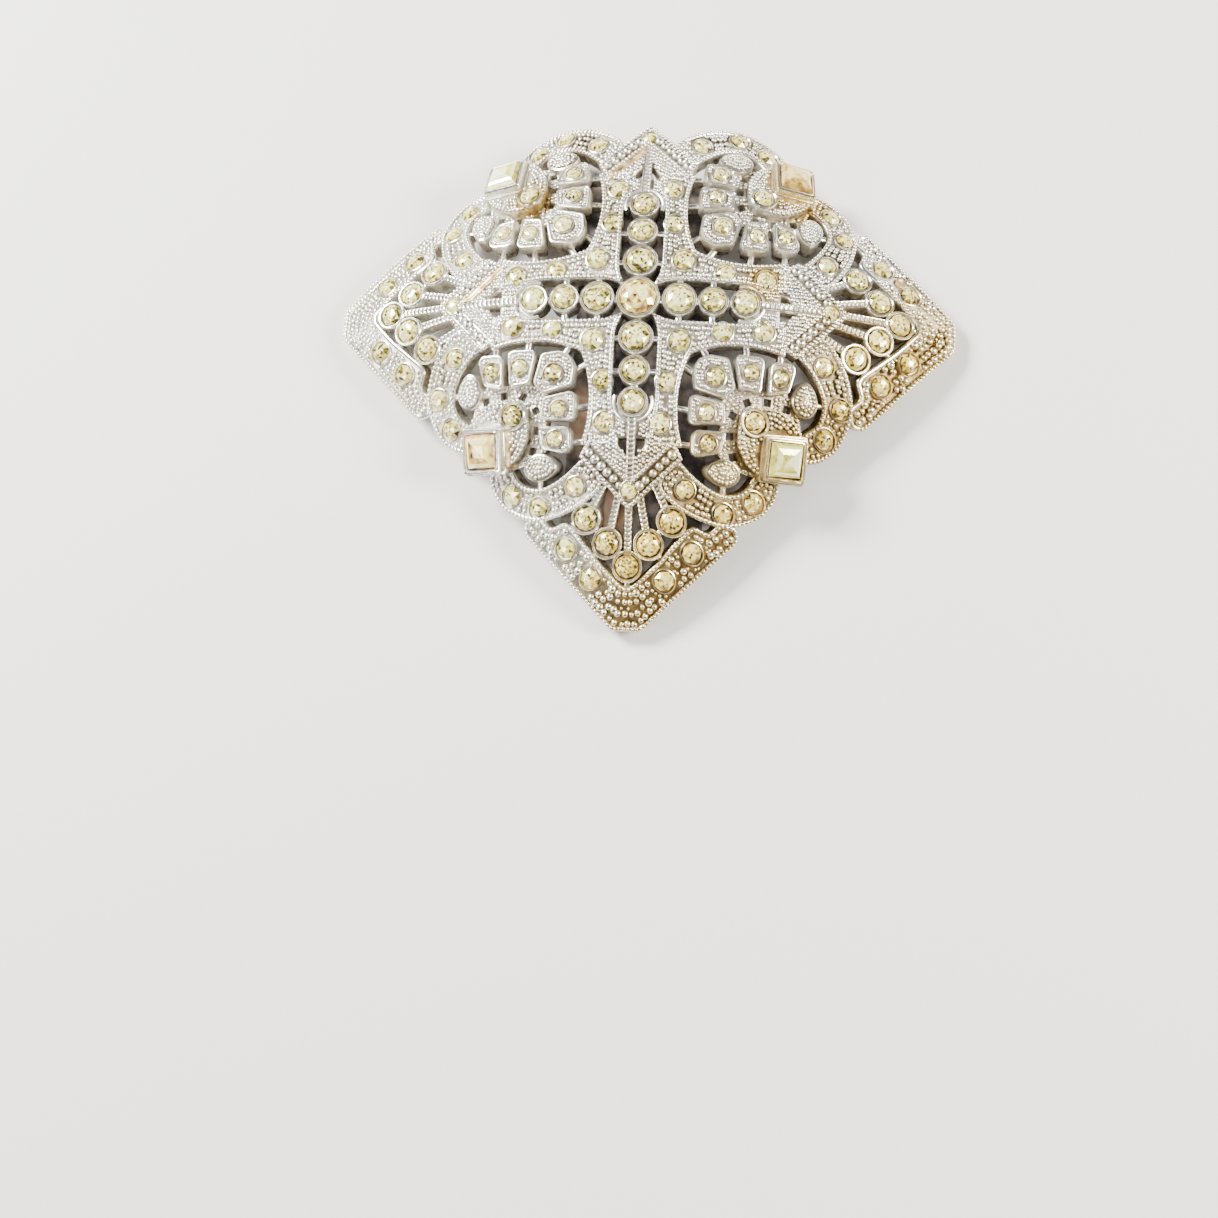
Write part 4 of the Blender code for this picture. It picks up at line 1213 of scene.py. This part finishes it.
leaf_height = LEAF_TOP - 0.09 + 0.18 * np.minimum(leaf_depth, 1)
leaf_balls = places_round(np.column_stack([leaf_rows, leaf_height]), both_sides=True)
add_metal("leaf_shot", shot(leaf_balls[:, :2], leaf_balls[:, 2], radius=0.19))

# %% [markdown]
# ## Bosses
#
# A raised boss carries a round stone, and next to it a box stands higher still and holds the square
# stone.  Shot covers the boss and the collar below it, and leaves both settings clear.

# %% Bosses
BOSS = mirrored_half(
    plan([(79, 59.5), (75, 53), (67, 48.8), (59.5, 48.8), (54, 50.5)]), diagonal=True)
BOSS_CORNER = 0.5
BOSS_RADIUS = 0.92          # of its stone

boss_profile = [
    (0.0, underside(10), 0.0), (0.0, BOSS_TOP - 0.6, 0.05), (0.0, BOSS_TOP - 0.14, 0.5),
    (0.07, BOSS_TOP - 0.02, 1.0), (0.16, BOSS_TOP, 1.0), (0.24, BOSS_TOP - 0.07, 0.3),
]
add_metal("bosses", all_round(block(BOSS, boss_profile, BOSS_CORNER)))
settings_clear = [(*BOSS_PLACE, 1.38), (*SQUARE_PLACE, 2.35)]
boss_rows = shot_rows(BOSS, BOSS_CORNER, first=0.42, pitch=0.4, stones=settings_clear)
holes_clear = [(*place, 0.55) for place in hole_ring]
collar_rows = shot_rows(COLLAR, COLLAR_CORNER, first=0.22, pitch=0.4, stones=holes_clear)
beside_boss = collar_rows[gap_to_outline(collar_rows, BOSS) < -0.1]
add_metal("boss_shot", joined([
    shot(places_round(boss_rows), BOSS_TOP - 0.06, radius=0.21),
    shot(places_round(beside_boss), COLLAR_TOP, radius=0.2),
]))
boss_rope = milgrain(BOSS, 0.1, BOSS_TOP - 0.04, BOSS_CORNER, width=0.17)
add_metal("boss_milgrain", all_round(boss_rope))

# %% [markdown]
# ## Square boxes
#
# The box is a block with two steps: a broad foot, and the thin wall that holds the stone.  It lies
# on the dome's slope, so its plan is a little shorter up and down the slope.

# %% Square boxes
SQUARE_STONE = 2.95         # side of the stone
SETTING_BOX = 3.95          # side of the wall round it
BOX_STEP = 0.2              # how far the foot stands out
BOX_BASE_TOP, BOX_TOP = 0.97, 1.62


def leaning_square(centre, side):
    """A square that lies on the dome: its plan is shortened by the normal's z down the slope."""
    _, normal = dome(*centre)
    down_slope = normal[:2] / np.linalg.norm(normal[:2])
    corners = np.array([(-1, -1), (1, -1), (1, 1), (-1, 1)]) * side / 2
    return corners - np.outer(corners @ down_slope, down_slope) * (1 - normal[2]) + centre


box_outline = leaning_square(SQUARE_PLACE, SETTING_BOX + 2 * BOX_STEP)
box_profile = [
    (0.0, underside(11), 0.0), (0.0, BOX_BASE_TOP - 0.7, 0.1), (0.0, BOX_BASE_TOP - 0.1, 0.55),
    (0.06, BOX_BASE_TOP, 0.9), (0.2, BOX_BASE_TOP + 0.02, 0.5),
    (0.2, BOX_TOP - 0.14, 0.75), (0.25, BOX_TOP - 0.01, 1.0),
    (0.33, BOX_TOP, 1.0), (0.38, BOX_TOP - 0.11, 0.3), (0.44, BOX_TOP - 0.03, 0.95),
    (0.5, BOX_TOP - 0.02, 1.0), (0.56, BOX_TOP - 0.12, 0.4), (0.58, BOX_TOP - 1.0, 0.0),
]
add_metal("square_boxes", all_round(block(box_outline, box_profile, reach=0.26)))

# %% [markdown]
# Beside the lower left box the foot of the wall is rubbed to a tan strip.  It is a low block in the
# tan finish, set against the box.

# %% Rubbed strip beside the lower left box
BESIDE_BOX = np.array([(-11.4, -11.4), (-11.4, -15.0), (-10.65, -15.0), (-10.65, -11.4)])
beside_profile = [
    (0.0, underside(19), 0.2), (0.0, BOSS_TOP + 0.05, 0.5), (0.08, BOSS_TOP + 0.13, 0.9),
    (0.2, BOSS_TOP + 0.14, 0.8),
]
add_metal("box_strip", block(BESIDE_BOX, beside_profile, reach=0.12), tan_metal)

# %% [markdown]
# ## Bezels
#
# Round stones of the rows and fans stand in turned bezels with a plain smooth rim, and so does the
# stone of each boss.
#
# A bezel is a profile carried round a circle.  One per size is worked out, then copied to its
# places while it is still flat, and the dome bends the copies with everything else.

# %% Bezels
CENTRE_RADIUS, FAN_RADIUS = 1.65, 1.05
CROSS_RADII = (1.27, 1.07, 1.05)
BEZEL_SIDES = 40

# Each setting is its places, its stone's radius and the height of its lip.
settings = [
    (np.zeros((1, 2)), CENTRE_RADIUS, 0.6),
    *((places_round(place), size, 0.4) for place, size in zip(CROSS_PLACES, CROSS_RADII)),
    (places_round(fan_places, FANS), FAN_RADIUS, 0.3),
    (places_round(BOSS_PLACE), BOSS_RADIUS, 1.15),
]


def bezel(radius, top):
    """Wall, rolled lip and the hollow down to the stone's bed."""
    outer = radius + 0.33
    bed = top - 0.35 - 0.58 * radius
    return turned_ring([
        (outer, underside(12), 0.0), (outer, top - 0.5, 0.1), (outer, top - 0.2, 0.5),
        (outer - 0.02, top - 0.07, 0.9), (outer - 0.1, top + 0.01, 1.0), (outer - 0.2, top, 1.0),
        (radius + 0.04, top - 0.1, 0.5), (radius, top - 0.2, 0.0), (radius - 0.1, bed, 0.0),
    ], BEZEL_SIDES)


add_metal("bezels", joined([
    scattered(bezel(radius, top), lifted(places, 0.0), 1.0) for places, radius, top in settings
]))

# %% [markdown]
# The small stones have a thin collar that the setter pushed over their edge.  One collar for a
# radius of 1 is made wider or narrower for each stone.

# %% Thin collars
COLLAR_SIDES = 28
thin_collar = turned_ring([
    (1.2, -0.4, 0.1), (1.19, 0.05, 0.5), (1.15, 0.17, 1.0), (1.09, 0.19, 1.0), (1.04, 0.12, 0.5),
    (0.98, -0.1, 0.0),
], COLLAR_SIDES)
set_radius = set_stones[:, 2]
collar_sizes = np.stack([set_radius, set_radius, np.ones_like(set_radius)], axis=1)
add_metal("stone_collars", scattered(thin_collar, set_stones[:, [0, 1, 3]], collar_sizes))

# %% [markdown]
# ## Thin bars
#
# The pierced casting is held together by thin bars: a spine down each row of bezels, rungs across
# it, short bridges from the petals to the metal round them, and ties from one fan bezel to the next
# and on to the frame.  All are one small rounded profile, carried along straight paths.

# %% Bars
SLOT_HALF_WIDTH = 1.95      # of the slot between two ribbons
SPINE_WIDTH, BAR_WIDTH, BAR_STEP = 0.66, 0.5, 0.5
BRIDGES = [
    ((35.5, 29), (31, 22)), ((53, 28), (52, 19.5)), ((69, 29), (68.5, 21)), ((84, 44), (91, 44)),
]
LINK_START, LINK_END = 0.3, 0.7         # shares of the way from one fan bezel to the next
TIE_START, TIE_END = 1.05, 2.25         # mm from a fan bezel's middle
TIE_LEANS = (1, 1, 0, -1, -1)


def plain_bar(start, end, width, top, step):
    """A straight bar with a rounded top."""
    section = whole_section([
        (width / 2, underside(step), 0, 0.2), (width / 2, top - 0.1, 0, 0.5),
        (width * 0.3, top - 0.01, 0, 0.9), (0.0, top + 0.02, 0, 1.0),
    ])
    return swept(straight(start, end, BAR_STEP), section)


bars = [all_round(plain_bar((0, 0), CROSS_PLACES[-1], SPINE_WIDTH, top=-0.12, step=13))]
across = np.array([0, SLOT_HALF_WIDTH + 0.2])
for place in CROSS_PLACES[:2]:
    rung = plain_bar(place - across, place + across, BAR_WIDTH, top=-0.17, step=14)
    bars.append(all_round(rung))
for ends in BRIDGES:
    bridge = plain_bar(*plan(ends), BAR_WIDTH, top=-0.2, step=15)
    bars.append(all_round(bridge, both_sides=True))
for first, second in ((0, 1), (3, 4)):
    way = fan_places[second] - fan_places[first]
    start, end = fan_places[first] + LINK_START * way, fan_places[first] + LINK_END * way
    bars.append(all_round(plain_bar(start, end, BAR_WIDTH, top=-0.15, step=16), FANS))
for place, lean in zip(fan_places, TIE_LEANS):
    ahead = np.array([1, lean]) / sqrt(1 + lean**2)
    start, end = place + TIE_START * ahead, place + TIE_END * ahead
    bars.append(all_round(plain_bar(start, end, BAR_WIDTH, top=-0.18, step=17), FANS))
add_metal("bars", joined(bars))

# %% [markdown]
# ## Cut stones
#
# The stones are paste, lead glass with a foil behind it.  The foil throws the light back, so a
# stone looks like a bright wheel of facets in lemon, cream and olive.
#
# Clear glass needs thousands of light paths before it stops being grainy.  An opaque stone whose
# facets each have their own painted light, as painted reflections and painted shade, gives the
# same look, and shows it in any viewer.

# %% The stones' finish
HONEY_START, HONEY_END = 0.009, 0.0185


def paste_finish(name, stops, honey_stops=None, cloud_scale=1500.0, cloud_depth=1.4):
    """The facet's painted light plus a cloud of painted reflections picks the colour; a clear
    coat gives the sparkle.  Honey stops take over towards the lower right."""
    made, node = new_material(name)
    painted_facet_light = node("ShaderNodeAttribute", attribute_name="painted_facet_light").outputs["Fac"]
    place = node("ShaderNodeTexCoord").outputs["Object"]
    # The cloud is a painted reflection inside the glass.
    shift = swing(node, noise(node, place, cloud_scale, detail=2.0), cloud_depth)
    shifted = maths(node, "ADD", painted_facet_light, shift, clamp=True)
    colour = ramp(node, shifted, stops)
    if honey_stops:
        share = lower_right_share(node, place, HONEY_START, HONEY_END)
        colour = mixed(node, share, colour, ramp(node, shifted, honey_stops))
    shader = node("ShaderNodeBsdfPrincipled", {
        "Base Color": colour, "Roughness": 0.15, "Metallic": 0.2, "IOR": 1.6,
        "Coat Weight": 0.8, "Coat Roughness": 0.03,
    })
    node("ShaderNodeOutputMaterial", {"Surface": shader.outputs[0]})
    return made


LEMON = [
    (0.0, (0.045, 0.036, 0.008)), (0.2, (0.19, 0.15, 0.03)), (0.4, (0.5, 0.41, 0.085)),
    (0.64, (0.87, 0.78, 0.24)), (0.95, (1.0, 0.96, 0.56)),
]
HONEY = [
    (0.0, (0.05, 0.028, 0.003)), (0.2, (0.23, 0.14, 0.015)), (0.42, (0.57, 0.38, 0.045)),
    (0.66, (0.86, 0.65, 0.12)), (0.95, (1.0, 0.88, 0.34)),
]
ROSY = [
    (0.0, (0.07, 0.035, 0.01)), (0.22, (0.36, 0.21, 0.07)), (0.42, (0.78, 0.55, 0.13)),
    (0.65, (0.88, 0.77, 0.2)), (0.95, (1.0, 0.96, 0.48)),
]
WATERY = [
    (0.0, (0.03, 0.03, 0.02)), (0.2, (0.24, 0.21, 0.09)), (0.42, (0.74, 0.69, 0.1)),
    (0.6, (0.86, 0.83, 0.38)), (0.95, (1.0, 0.99, 0.68)),
]
SMOKY = [
    (0.0, (0.14, 0.08, 0.02)), (0.25, (0.4, 0.25, 0.06)), (0.5, (0.76, 0.54, 0.14)),
    (0.75, (0.93, 0.76, 0.28)), (0.95, (1.0, 0.92, 0.5)),
]
lemon_paste = paste_finish("lemon_paste", LEMON, HONEY, cloud_scale=3400.0)
rosy_paste = paste_finish("rosy_paste", ROSY)
watery_paste = paste_finish("watery_paste", WATERY, cloud_depth=0.7)
smoky_paste = paste_finish("smoky_paste", SMOKY)
print("finishes:", lemon_paste.name, rosy_paste.name, watery_paste.name, smoky_paste.name)

# %% [markdown]
# ## How the stones are cut
#
# A round stone has a small table, rings of triangular facets round it, and a pointed back.  The
# set stones are cut more simply.  Each ring is a circle of points at one height, and turning every
# other ring by half a step makes the triangles.

# %% Cut shapes
TONE_RNG = np.random.default_rng(11)


def cut_rows(rows, sides):
    """Facets between rings of points: (radius, height, half steps turned); the first ring is closed
    by facets that meet in the table's middle."""
    rings = []
    for radius, height, half_steps in rows:
        angle = 2 * pi * (np.arange(sides) + half_steps / 2) / sides
        rings.append(lifted(radius * on_circle(angle), height))
    points = np.vstack([*rings, [(0, 0, rows[0][1])], [(0, 0, rows[-1][1])]])
    number = np.arange(len(rows) * sides).reshape(len(rows), sides)
    ahead = np.roll(number, -1, axis=1)
    top, bottom = len(points) - 2, len(points) - 1
    tables = [np.stack([number[0], ahead[0], np.full(sides, top)], axis=1)]
    for i in range(len(rows) - 1):
        upper, lower, upper_ahead, lower_ahead = number[i], number[i + 1], ahead[i], ahead[i + 1]
        if rows[i][2] == rows[i + 1][2]:
            tables.append(np.stack([lower, lower_ahead, upper_ahead, upper], axis=1))
        elif rows[i + 1][2]:
            tables.append(np.stack([upper, lower, upper_ahead], axis=1))
            tables.append(np.stack([lower, lower_ahead, upper_ahead], axis=1))
        else:
            tables.append(np.stack([upper, lower_ahead, upper_ahead], axis=1))
            tables.append(np.stack([lower, lower_ahead, upper], axis=1))
    tables.append(np.stack([ahead[-1], number[-1], np.full(sides, bottom)], axis=1))
    return Shape(points, tables, 1.0)


round_cut = cut_rows([
    (0.26, 0.365, 1), (0.56, 0.33, 0), (0.8, 0.21, 1), (1.0, 0.02, 0), (1.0, -0.08, 0),
    (0.5, -0.4, 0),
], 11)
small_cut = cut_rows([(0.26, 0.37, 1), (0.6, 0.32, 0), (1.0, 0.0, 1), (1.0, -0.3, 1)], 8)
print("facets of a round stone:", sum(len(table) for table in round_cut.faces),
      "and of a small one:", sum(len(table) for table in small_cut.faces))

# %% [markdown]
# ## How the stones are laid
#
# A stone doesn't bend with the dome: it is a rigid copy, square to the dome where it lies.  Each
# facet gets painted light by chance, a painted reflection, because a real facet is bright or dark
# by what it happens to mirror.

# %% Laying stones, and painted light for each facet
def seat(place, height):
    """Origin and rotation of a stone's bed: on the dome, square to its normal."""
    x, y = float(place[0]), float(place[1])
    _, normal = dome(np.array(x), np.array(y))
    lean = Vector((0, 0, 1)).rotation_difference(Vector(normal)).to_matrix()
    return on_dome([(x, y, height)])[0], np.array(lean)


def laid_stones(unit, rows):
    """Stones as rigid copies: rows are (x, y, radius, height of the girdle, turn)."""
    shapes = []
    for x, y, radius, height, spin in rows:
        origin, lean = seat((x, y), height)
        cosine, sine = np.cos(spin), np.sin(spin)
        turn = np.array([(cosine, sine, 0), (-sine, cosine, 0), (0, 0, 1)])
        shapes.append(Shape(unit.points @ turn * radius @ lean.T + origin, unit.faces, unit.wear_and_painted_shade))
    return joined(shapes)


def paint_facet_light(unit, count):
    """Painted light for each facet, as painted reflections: mostly light, some dark, less towards
    the
    rim as painted shade of the bezel, and one shift for the whole stone:
    light = chance (1.1 - 0.6 r^2) + shift."""
    middles = [unit.points[table][..., :2].mean(axis=1) for table in unit.faces]
    radius = np.linalg.norm(np.vstack(middles), axis=1)
    chance = TONE_RNG.beta(1.1, 0.75, (count, len(radius)))
    shift = TONE_RNG.normal(0, 0.07, (count, 1))
    return np.clip(chance * (1.1 - 0.6 * radius**2) + shift, 0, 1).ravel()


def add_stones(name, unit, rows, material, stands_for=(), painted_facet_light=None):
    """Stones of one cut as one piece, with painted light for each facet."""
    painted_facet_light = paint_facet_light(unit, len(rows)) if painted_facet_light is None else painted_facet_light
    add_piece(name, laid_stones(unit, rows), material, stands_for, bend=False,
              sharp=None, faces_painted_light=painted_facet_light)


def spun(count):
    """A turn for each stone, because the setter doesn't line them up."""
    return TONE_RNG.uniform(0, pi / 4, count)


print("stones are laid with add_stones")

# %% [markdown]
# ## Round stones
#
# Each piece holds the stones of one kind and stands for their nodes of the CAD model.  The stone in
# the middle is a warmer colour than the others.

# %% Round stones
ARM_NAMES = ("right", "top", "left", "bottom")
QUADRANTS = ("upper_right", "upper_left", "lower_left", "lower_right")
SET_GIRDLE = 0.1            # height of a set stone's girdle above the field


def round_rows(places, radius, girdle):
    """Rows for laid_stones: one size and height, each stone with its own turn."""
    count = len(places)
    return np.column_stack([places, np.full(count, radius), np.full(count, girdle), spun(count)])


centre_rows = round_rows(np.zeros((1, 2)), CENTRE_RADIUS, girdle=0.5)
add_stones("centre_paste", round_cut, centre_rows, rosy_paste, ("centre_stone",))
cross_rows = np.vstack([
    round_rows(places_round(place), size, girdle=0.3)
    for place, size in zip(CROSS_PLACES, CROSS_RADII)
])
cross_nodes = [f"cross_stone_{arm}_{number}" for arm in ARM_NAMES for number in (1, 2, 3)]
add_stones("cross_paste", round_cut, cross_rows, lemon_paste, cross_nodes)
fan_rows = round_rows(places_round(fan_places, FANS), FAN_RADIUS, girdle=0.2)
fan_nodes = [f"fan_stone_{ARM_NAMES[arm]}_{number}" for arm in FANS for number in range(1, 6)]
add_stones("fan_paste", round_cut, fan_rows, lemon_paste, fan_nodes)
boss_stone_rows = round_rows(places_round(BOSS_PLACE), BOSS_RADIUS, girdle=1.05)
boss_nodes = [f"boss_stone_{quadrant}" for quadrant in QUADRANTS]
add_stones("boss_paste", round_cut, boss_stone_rows, lemon_paste, boss_nodes)
set_girdle = set_stones[:, 3] + SET_GIRDLE
set_rows = np.column_stack([set_stones[:, :3], set_girdle, spun(len(set_stones))])
add_stones("set_paste", small_cut, set_rows, lemon_paste)

# %% [markdown]
# ## Square stones
#
# The four square stones differ most, so each has its own finish and its own table of painted light,
# bright painted reflections and darker facets: the four wedges of the inner table, the four sides
# of the outer table, and the four of the crown.  The narrow facets round the edge and all below
# them share one dark tone, painted shade, because the box shades them.

# %% Square stones
TO_CORNER = sqrt(2)         # from half a side to half a diagonal
SQUARE_SPREAD = 1.04        # larger than the CAD stone, to fill the box
PAINTED_BOX_SHADE = 0.3
square_cut = cut_rows([
    (0.36 * TO_CORNER, 0.37, 1), (0.7 * TO_CORNER, 0.31, 1), (0.86 * TO_CORNER, 0.22, 1),
    (1.0 * TO_CORNER, 0.0, 1), (1.0 * TO_CORNER, -0.08, 1), (0.3 * TO_CORNER, -0.5, 1),
], 4)
SQUARE_PAINTED_LIGHT = {
    "upper_right": (smoky_paste, (
        0.7, 0.45, 0.5, 0.75, 0.5, 0.7, 0.35, 0.55, 0.8, 0.4, 0.3, 0.85)),
    "upper_left": (watery_paste, (
        0.44, 0.95, 0.97, 0.7, 0.42, 0.97, 0.9, 0.42, 0.4, 0.95, 0.97, 0.7)),
    "lower_left": (rosy_paste, (
        0.9, 0.3, 0.36, 0.6, 0.95, 0.28, 0.36, 0.56, 0.18, 0.8, 0.85, 0.5)),
    "lower_right": (watery_paste, (
        0.42, 0.3, 0.6, 0.9, 0.34, 0.55, 0.42, 0.97, 0.5, 0.3, 0.66, 0.85)),
}
facet_count = sum(len(table) for table in square_cut.faces)
for place, (quadrant, (finish, shown)) in zip(places_round(SQUARE_PLACE), SQUARE_PAINTED_LIGHT.items()):
    row = [(*place, SQUARE_SPREAD * SQUARE_STONE / 2, BOX_TOP - 0.1, 0.0)]
    painted_facet_light = np.concatenate([shown, np.repeat(PAINTED_BOX_SHADE, facet_count - len(shown))])
    stands_for = (f"square_stone_{quadrant}",)
    add_stones(f"square_paste_{quadrant}", square_cut, row, finish, stands_for, painted_facet_light)

# %% [markdown]
# ## The spring clip behind
#
# The clip that grips the cloth lies behind the casting.  Its plating is worn to the copper
# coloured metal below, and it shows only through the openings.  Its grey is darkened as painted
# shade, and its copper lightened as painted light.  Its CAD shape stays.

# %% The spring clip's finish
COPPER_SPOTS = [((-0.0053, -0.0043), 0.0042), ((-0.002, -0.0133), 0.0034)]
LINE_SCALE = (2600.0, 120.0, 300.0)         # close together across the strip, long down it
# Grey plating darker than its own colour, as painted shade; copper paler than its own, as painted
# light.
STEEL_WITH_PAINTED_SHADE = [(0.38, (0.06, 0.052, 0.055)), (0.5, (0.17, 0.15, 0.155)), (0.65, (0.36, 0.33, 0.33))]
COPPER_WITH_PAINTED_LIGHT = [(0.3, (0.85, 0.5, 0.33)), (0.5, (1.0, 0.7, 0.5)), (0.7, (1.0, 0.88, 0.7))]


def worn_copper_with_painted_light():
    """Grey plating with fine lines down the strip, worn to copper in two spots; the grey is
    darkened as painted shade and the copper lightened as painted light.
    """
    made, node = new_material("worn_copper_with_painted_light")
    place = node("ShaderNodeTexCoord").outputs["Object"]
    patches = noise(node, place, scale=420.0, detail=4.0)
    stretched = node("ShaderNodeMapping", {"Vector": place, "Scale": LINE_SCALE})
    lines = noise(node, stretched.outputs[0], scale=1.0, detail=2.0)
    share = swing(node, patches, strength=1.6)
    for spot in COPPER_SPOTS:
        share = maths(node, "ADD", share, spot_share(node, place, *spot), clamp=True)
    colour = mixed(node, share, ramp(node, patches, STEEL_WITH_PAINTED_SHADE), ramp(node, patches, COPPER_WITH_PAINTED_LIGHT))
    roughness = between(node, lines, 0.0, 1.0, low=0.3, high=0.5)
    lay_metal(node, colour, roughness, metallic=0.2, relief=lines, strength=0.3, depth=0.00003)
    return made


clip_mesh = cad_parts["back_clip"].data
clip_mesh.materials.clear()
clip_mesh.materials.append(worn_copper_with_painted_light())
clip_low, clip_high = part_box("back_clip")
print("spring clip:", len(clip_mesh.polygons), "triangles, from", round(1000 * clip_low.z, 2),
      "to", round(1000 * clip_high.z, 2), "mm above the floor")

# %% [markdown]
# ## Floor and light
#
# The clip lies on a plain pale floor.  A pale wall stands round the floor for views from low down.
# Only the camera sees it, so it lends no light to the clip.

# %% Floor and wall
STAGE_RADIUS, WALL_HEIGHT, STAGE_SIDES = 0.34, 0.5, 96
FLOOR_FINISH = {"Base Color": (0.72, 0.71, 0.69, 1), "Roughness": 0.7}
WALL_FINISH = {"Color": (1, 1, 0.98, 1), "Strength": 1.7}


def stage_piece(name, points, faces, shader_kind, inputs):
    """A mesh that belongs to the studio and not to the clip."""
    mesh = bpy.data.meshes.new(name)
    mesh.from_pydata(points, [], faces)
    finish, node = new_material(f"{name}_finish")
    node("ShaderNodeOutputMaterial", {"Surface": node(shader_kind, inputs).outputs[0]})
    mesh.materials.append(finish)
    made = bpy.data.objects.new(name, mesh)
    bpy.context.collection.objects.link(made)
    made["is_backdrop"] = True
    return made


stage_turn = np.linspace(0, 2 * pi, STAGE_SIDES, endpoint=False)
edge = lifted(STAGE_RADIUS * on_circle(stage_turn), 0.0)
stage_piece("floor", edge, [range(STAGE_SIDES)], "ShaderNodeBsdfPrincipled", FLOOR_FINISH)
low = np.arange(STAGE_SIDES)
next_low = np.roll(low, -1)
wall_faces = np.stack([low, low + STAGE_SIDES, next_low + STAGE_SIDES, next_low], axis=1)
wall_points = np.vstack([edge, edge + (0, 0, WALL_HEIGHT)])
wall = stage_piece("wall", wall_points, wall_faces.tolist(), "ShaderNodeEmission", WALL_FINISH)
wall.visible_diffuse = wall.visible_glossy = wall.visible_transmission = wall.visible_shadow = False
print("stage:", STAGE_RADIUS, "m in radius")

# %% [markdown]
# One large soft lamp lights the clip from the upper left.  Smaller ones on the right, at the lower
# left and beside the camera are there for the slopes of the dome that mirror those sides.
#
# A table of lamps is easier to balance than lamps placed by hand.  Places and sizes are in metres,
# powers in watts.

# %% Lamps
LAMPS = {
    "key_lamp": ((-0.27, 0.17, 0.25), 0.13, 7.2, (1.0, 0.99, 0.97)),
    "fill_lamp": ((0.28, 0.0, 0.19), 0.12, 2.9, (1.0, 0.97, 0.92)),
    "low_left_lamp": ((-0.28, -0.17, 0.21), 0.12, 0.7, (1.0, 0.99, 0.97)),
    "camera_side_lamp": ((0.02, -0.12, 0.45), 0.1, 0.45, (1.0, 0.98, 0.95)),
}
WORLD_COLOUR, WORLD_STRENGTH = (0.9, 0.93, 1.0, 1), 0.17


def area_lamp(name, place, size, power, colour):
    """A square lamp that looks at the clip."""
    data = bpy.data.lights.new(name, "AREA")
    data.size = size
    data.energy = power
    data.color = colour
    lamp = bpy.data.objects.new(name, data)
    lamp.location = place
    lamp.rotation_euler = Vector(place).to_track_quat("Z", "Y").to_euler()
    bpy.context.collection.objects.link(lamp)


for name, lamp_row in LAMPS.items():
    area_lamp(name, *lamp_row)
world = bpy.data.worlds.new("studio")
world.use_nodes = True
background = world.node_tree.nodes["Background"].inputs
background["Color"].default_value = WORLD_COLOUR
background["Strength"].default_value = WORLD_STRENGTH
bpy.context.scene.world = world
print("lamps:", list(LAMPS))

# %% [markdown]
# ## Camera
#
# The camera's place comes from the photograph: a hundred stones were found in it, and the place and
# tilt that lay the same hundred places of the model over them were worked out.

# %% Camera
PHOTO_SIDE, FOCAL_PIXELS = 1218, 1500.0
SENSOR_WIDTH, NEAREST = 36, 0.005
SPIN, TILT, ROLL = -0.0624, -0.2267, -0.1017            # radians about z, x and y
CLIP_FROM_CAMERA = Vector((2.641, 28.068, -135.68))     # mm, to the top of the dome

clip_turn = (
    Matrix.Rotation(SPIN, 3, "Z") @ Matrix.Rotation(TILT, 3, "X") @ Matrix.Rotation(ROLL, 3, "Y"))
facing = clip_turn.transposed()
camera_data = bpy.data.cameras.new("camera")
camera_data.sensor_width = SENSOR_WIDTH
camera_data.lens = FOCAL_PIXELS / PHOTO_SIDE * SENSOR_WIDTH
camera_data.clip_start = NEAREST
camera = bpy.data.objects.new("camera", camera_data)
camera_place = -(facing @ CLIP_FROM_CAMERA) / 1000 + Vector(DOME_TOP)
camera.matrix_world = Matrix.Translation(camera_place) @ facing.to_4x4()
bpy.context.collection.objects.link(camera)
bpy.context.scene.camera = camera
print("camera at", [round(c, 4) for c in camera_place], "m")

# %% [markdown]
# ## The size
#
# The fine pieces fill the CAD model's box, and only their top passes it, by 0.04 mm.  Both boxes
# are printed, in millimetres, so that they can be compared.

# %% Sizes
dressed_box = [list(corner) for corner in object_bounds()]
for name, box in (("cad", cad_box), ("visual", dressed_box)):
    print(name, "box in mm:", [[round(1000 * c, 3) for c in corner] for corner in box])
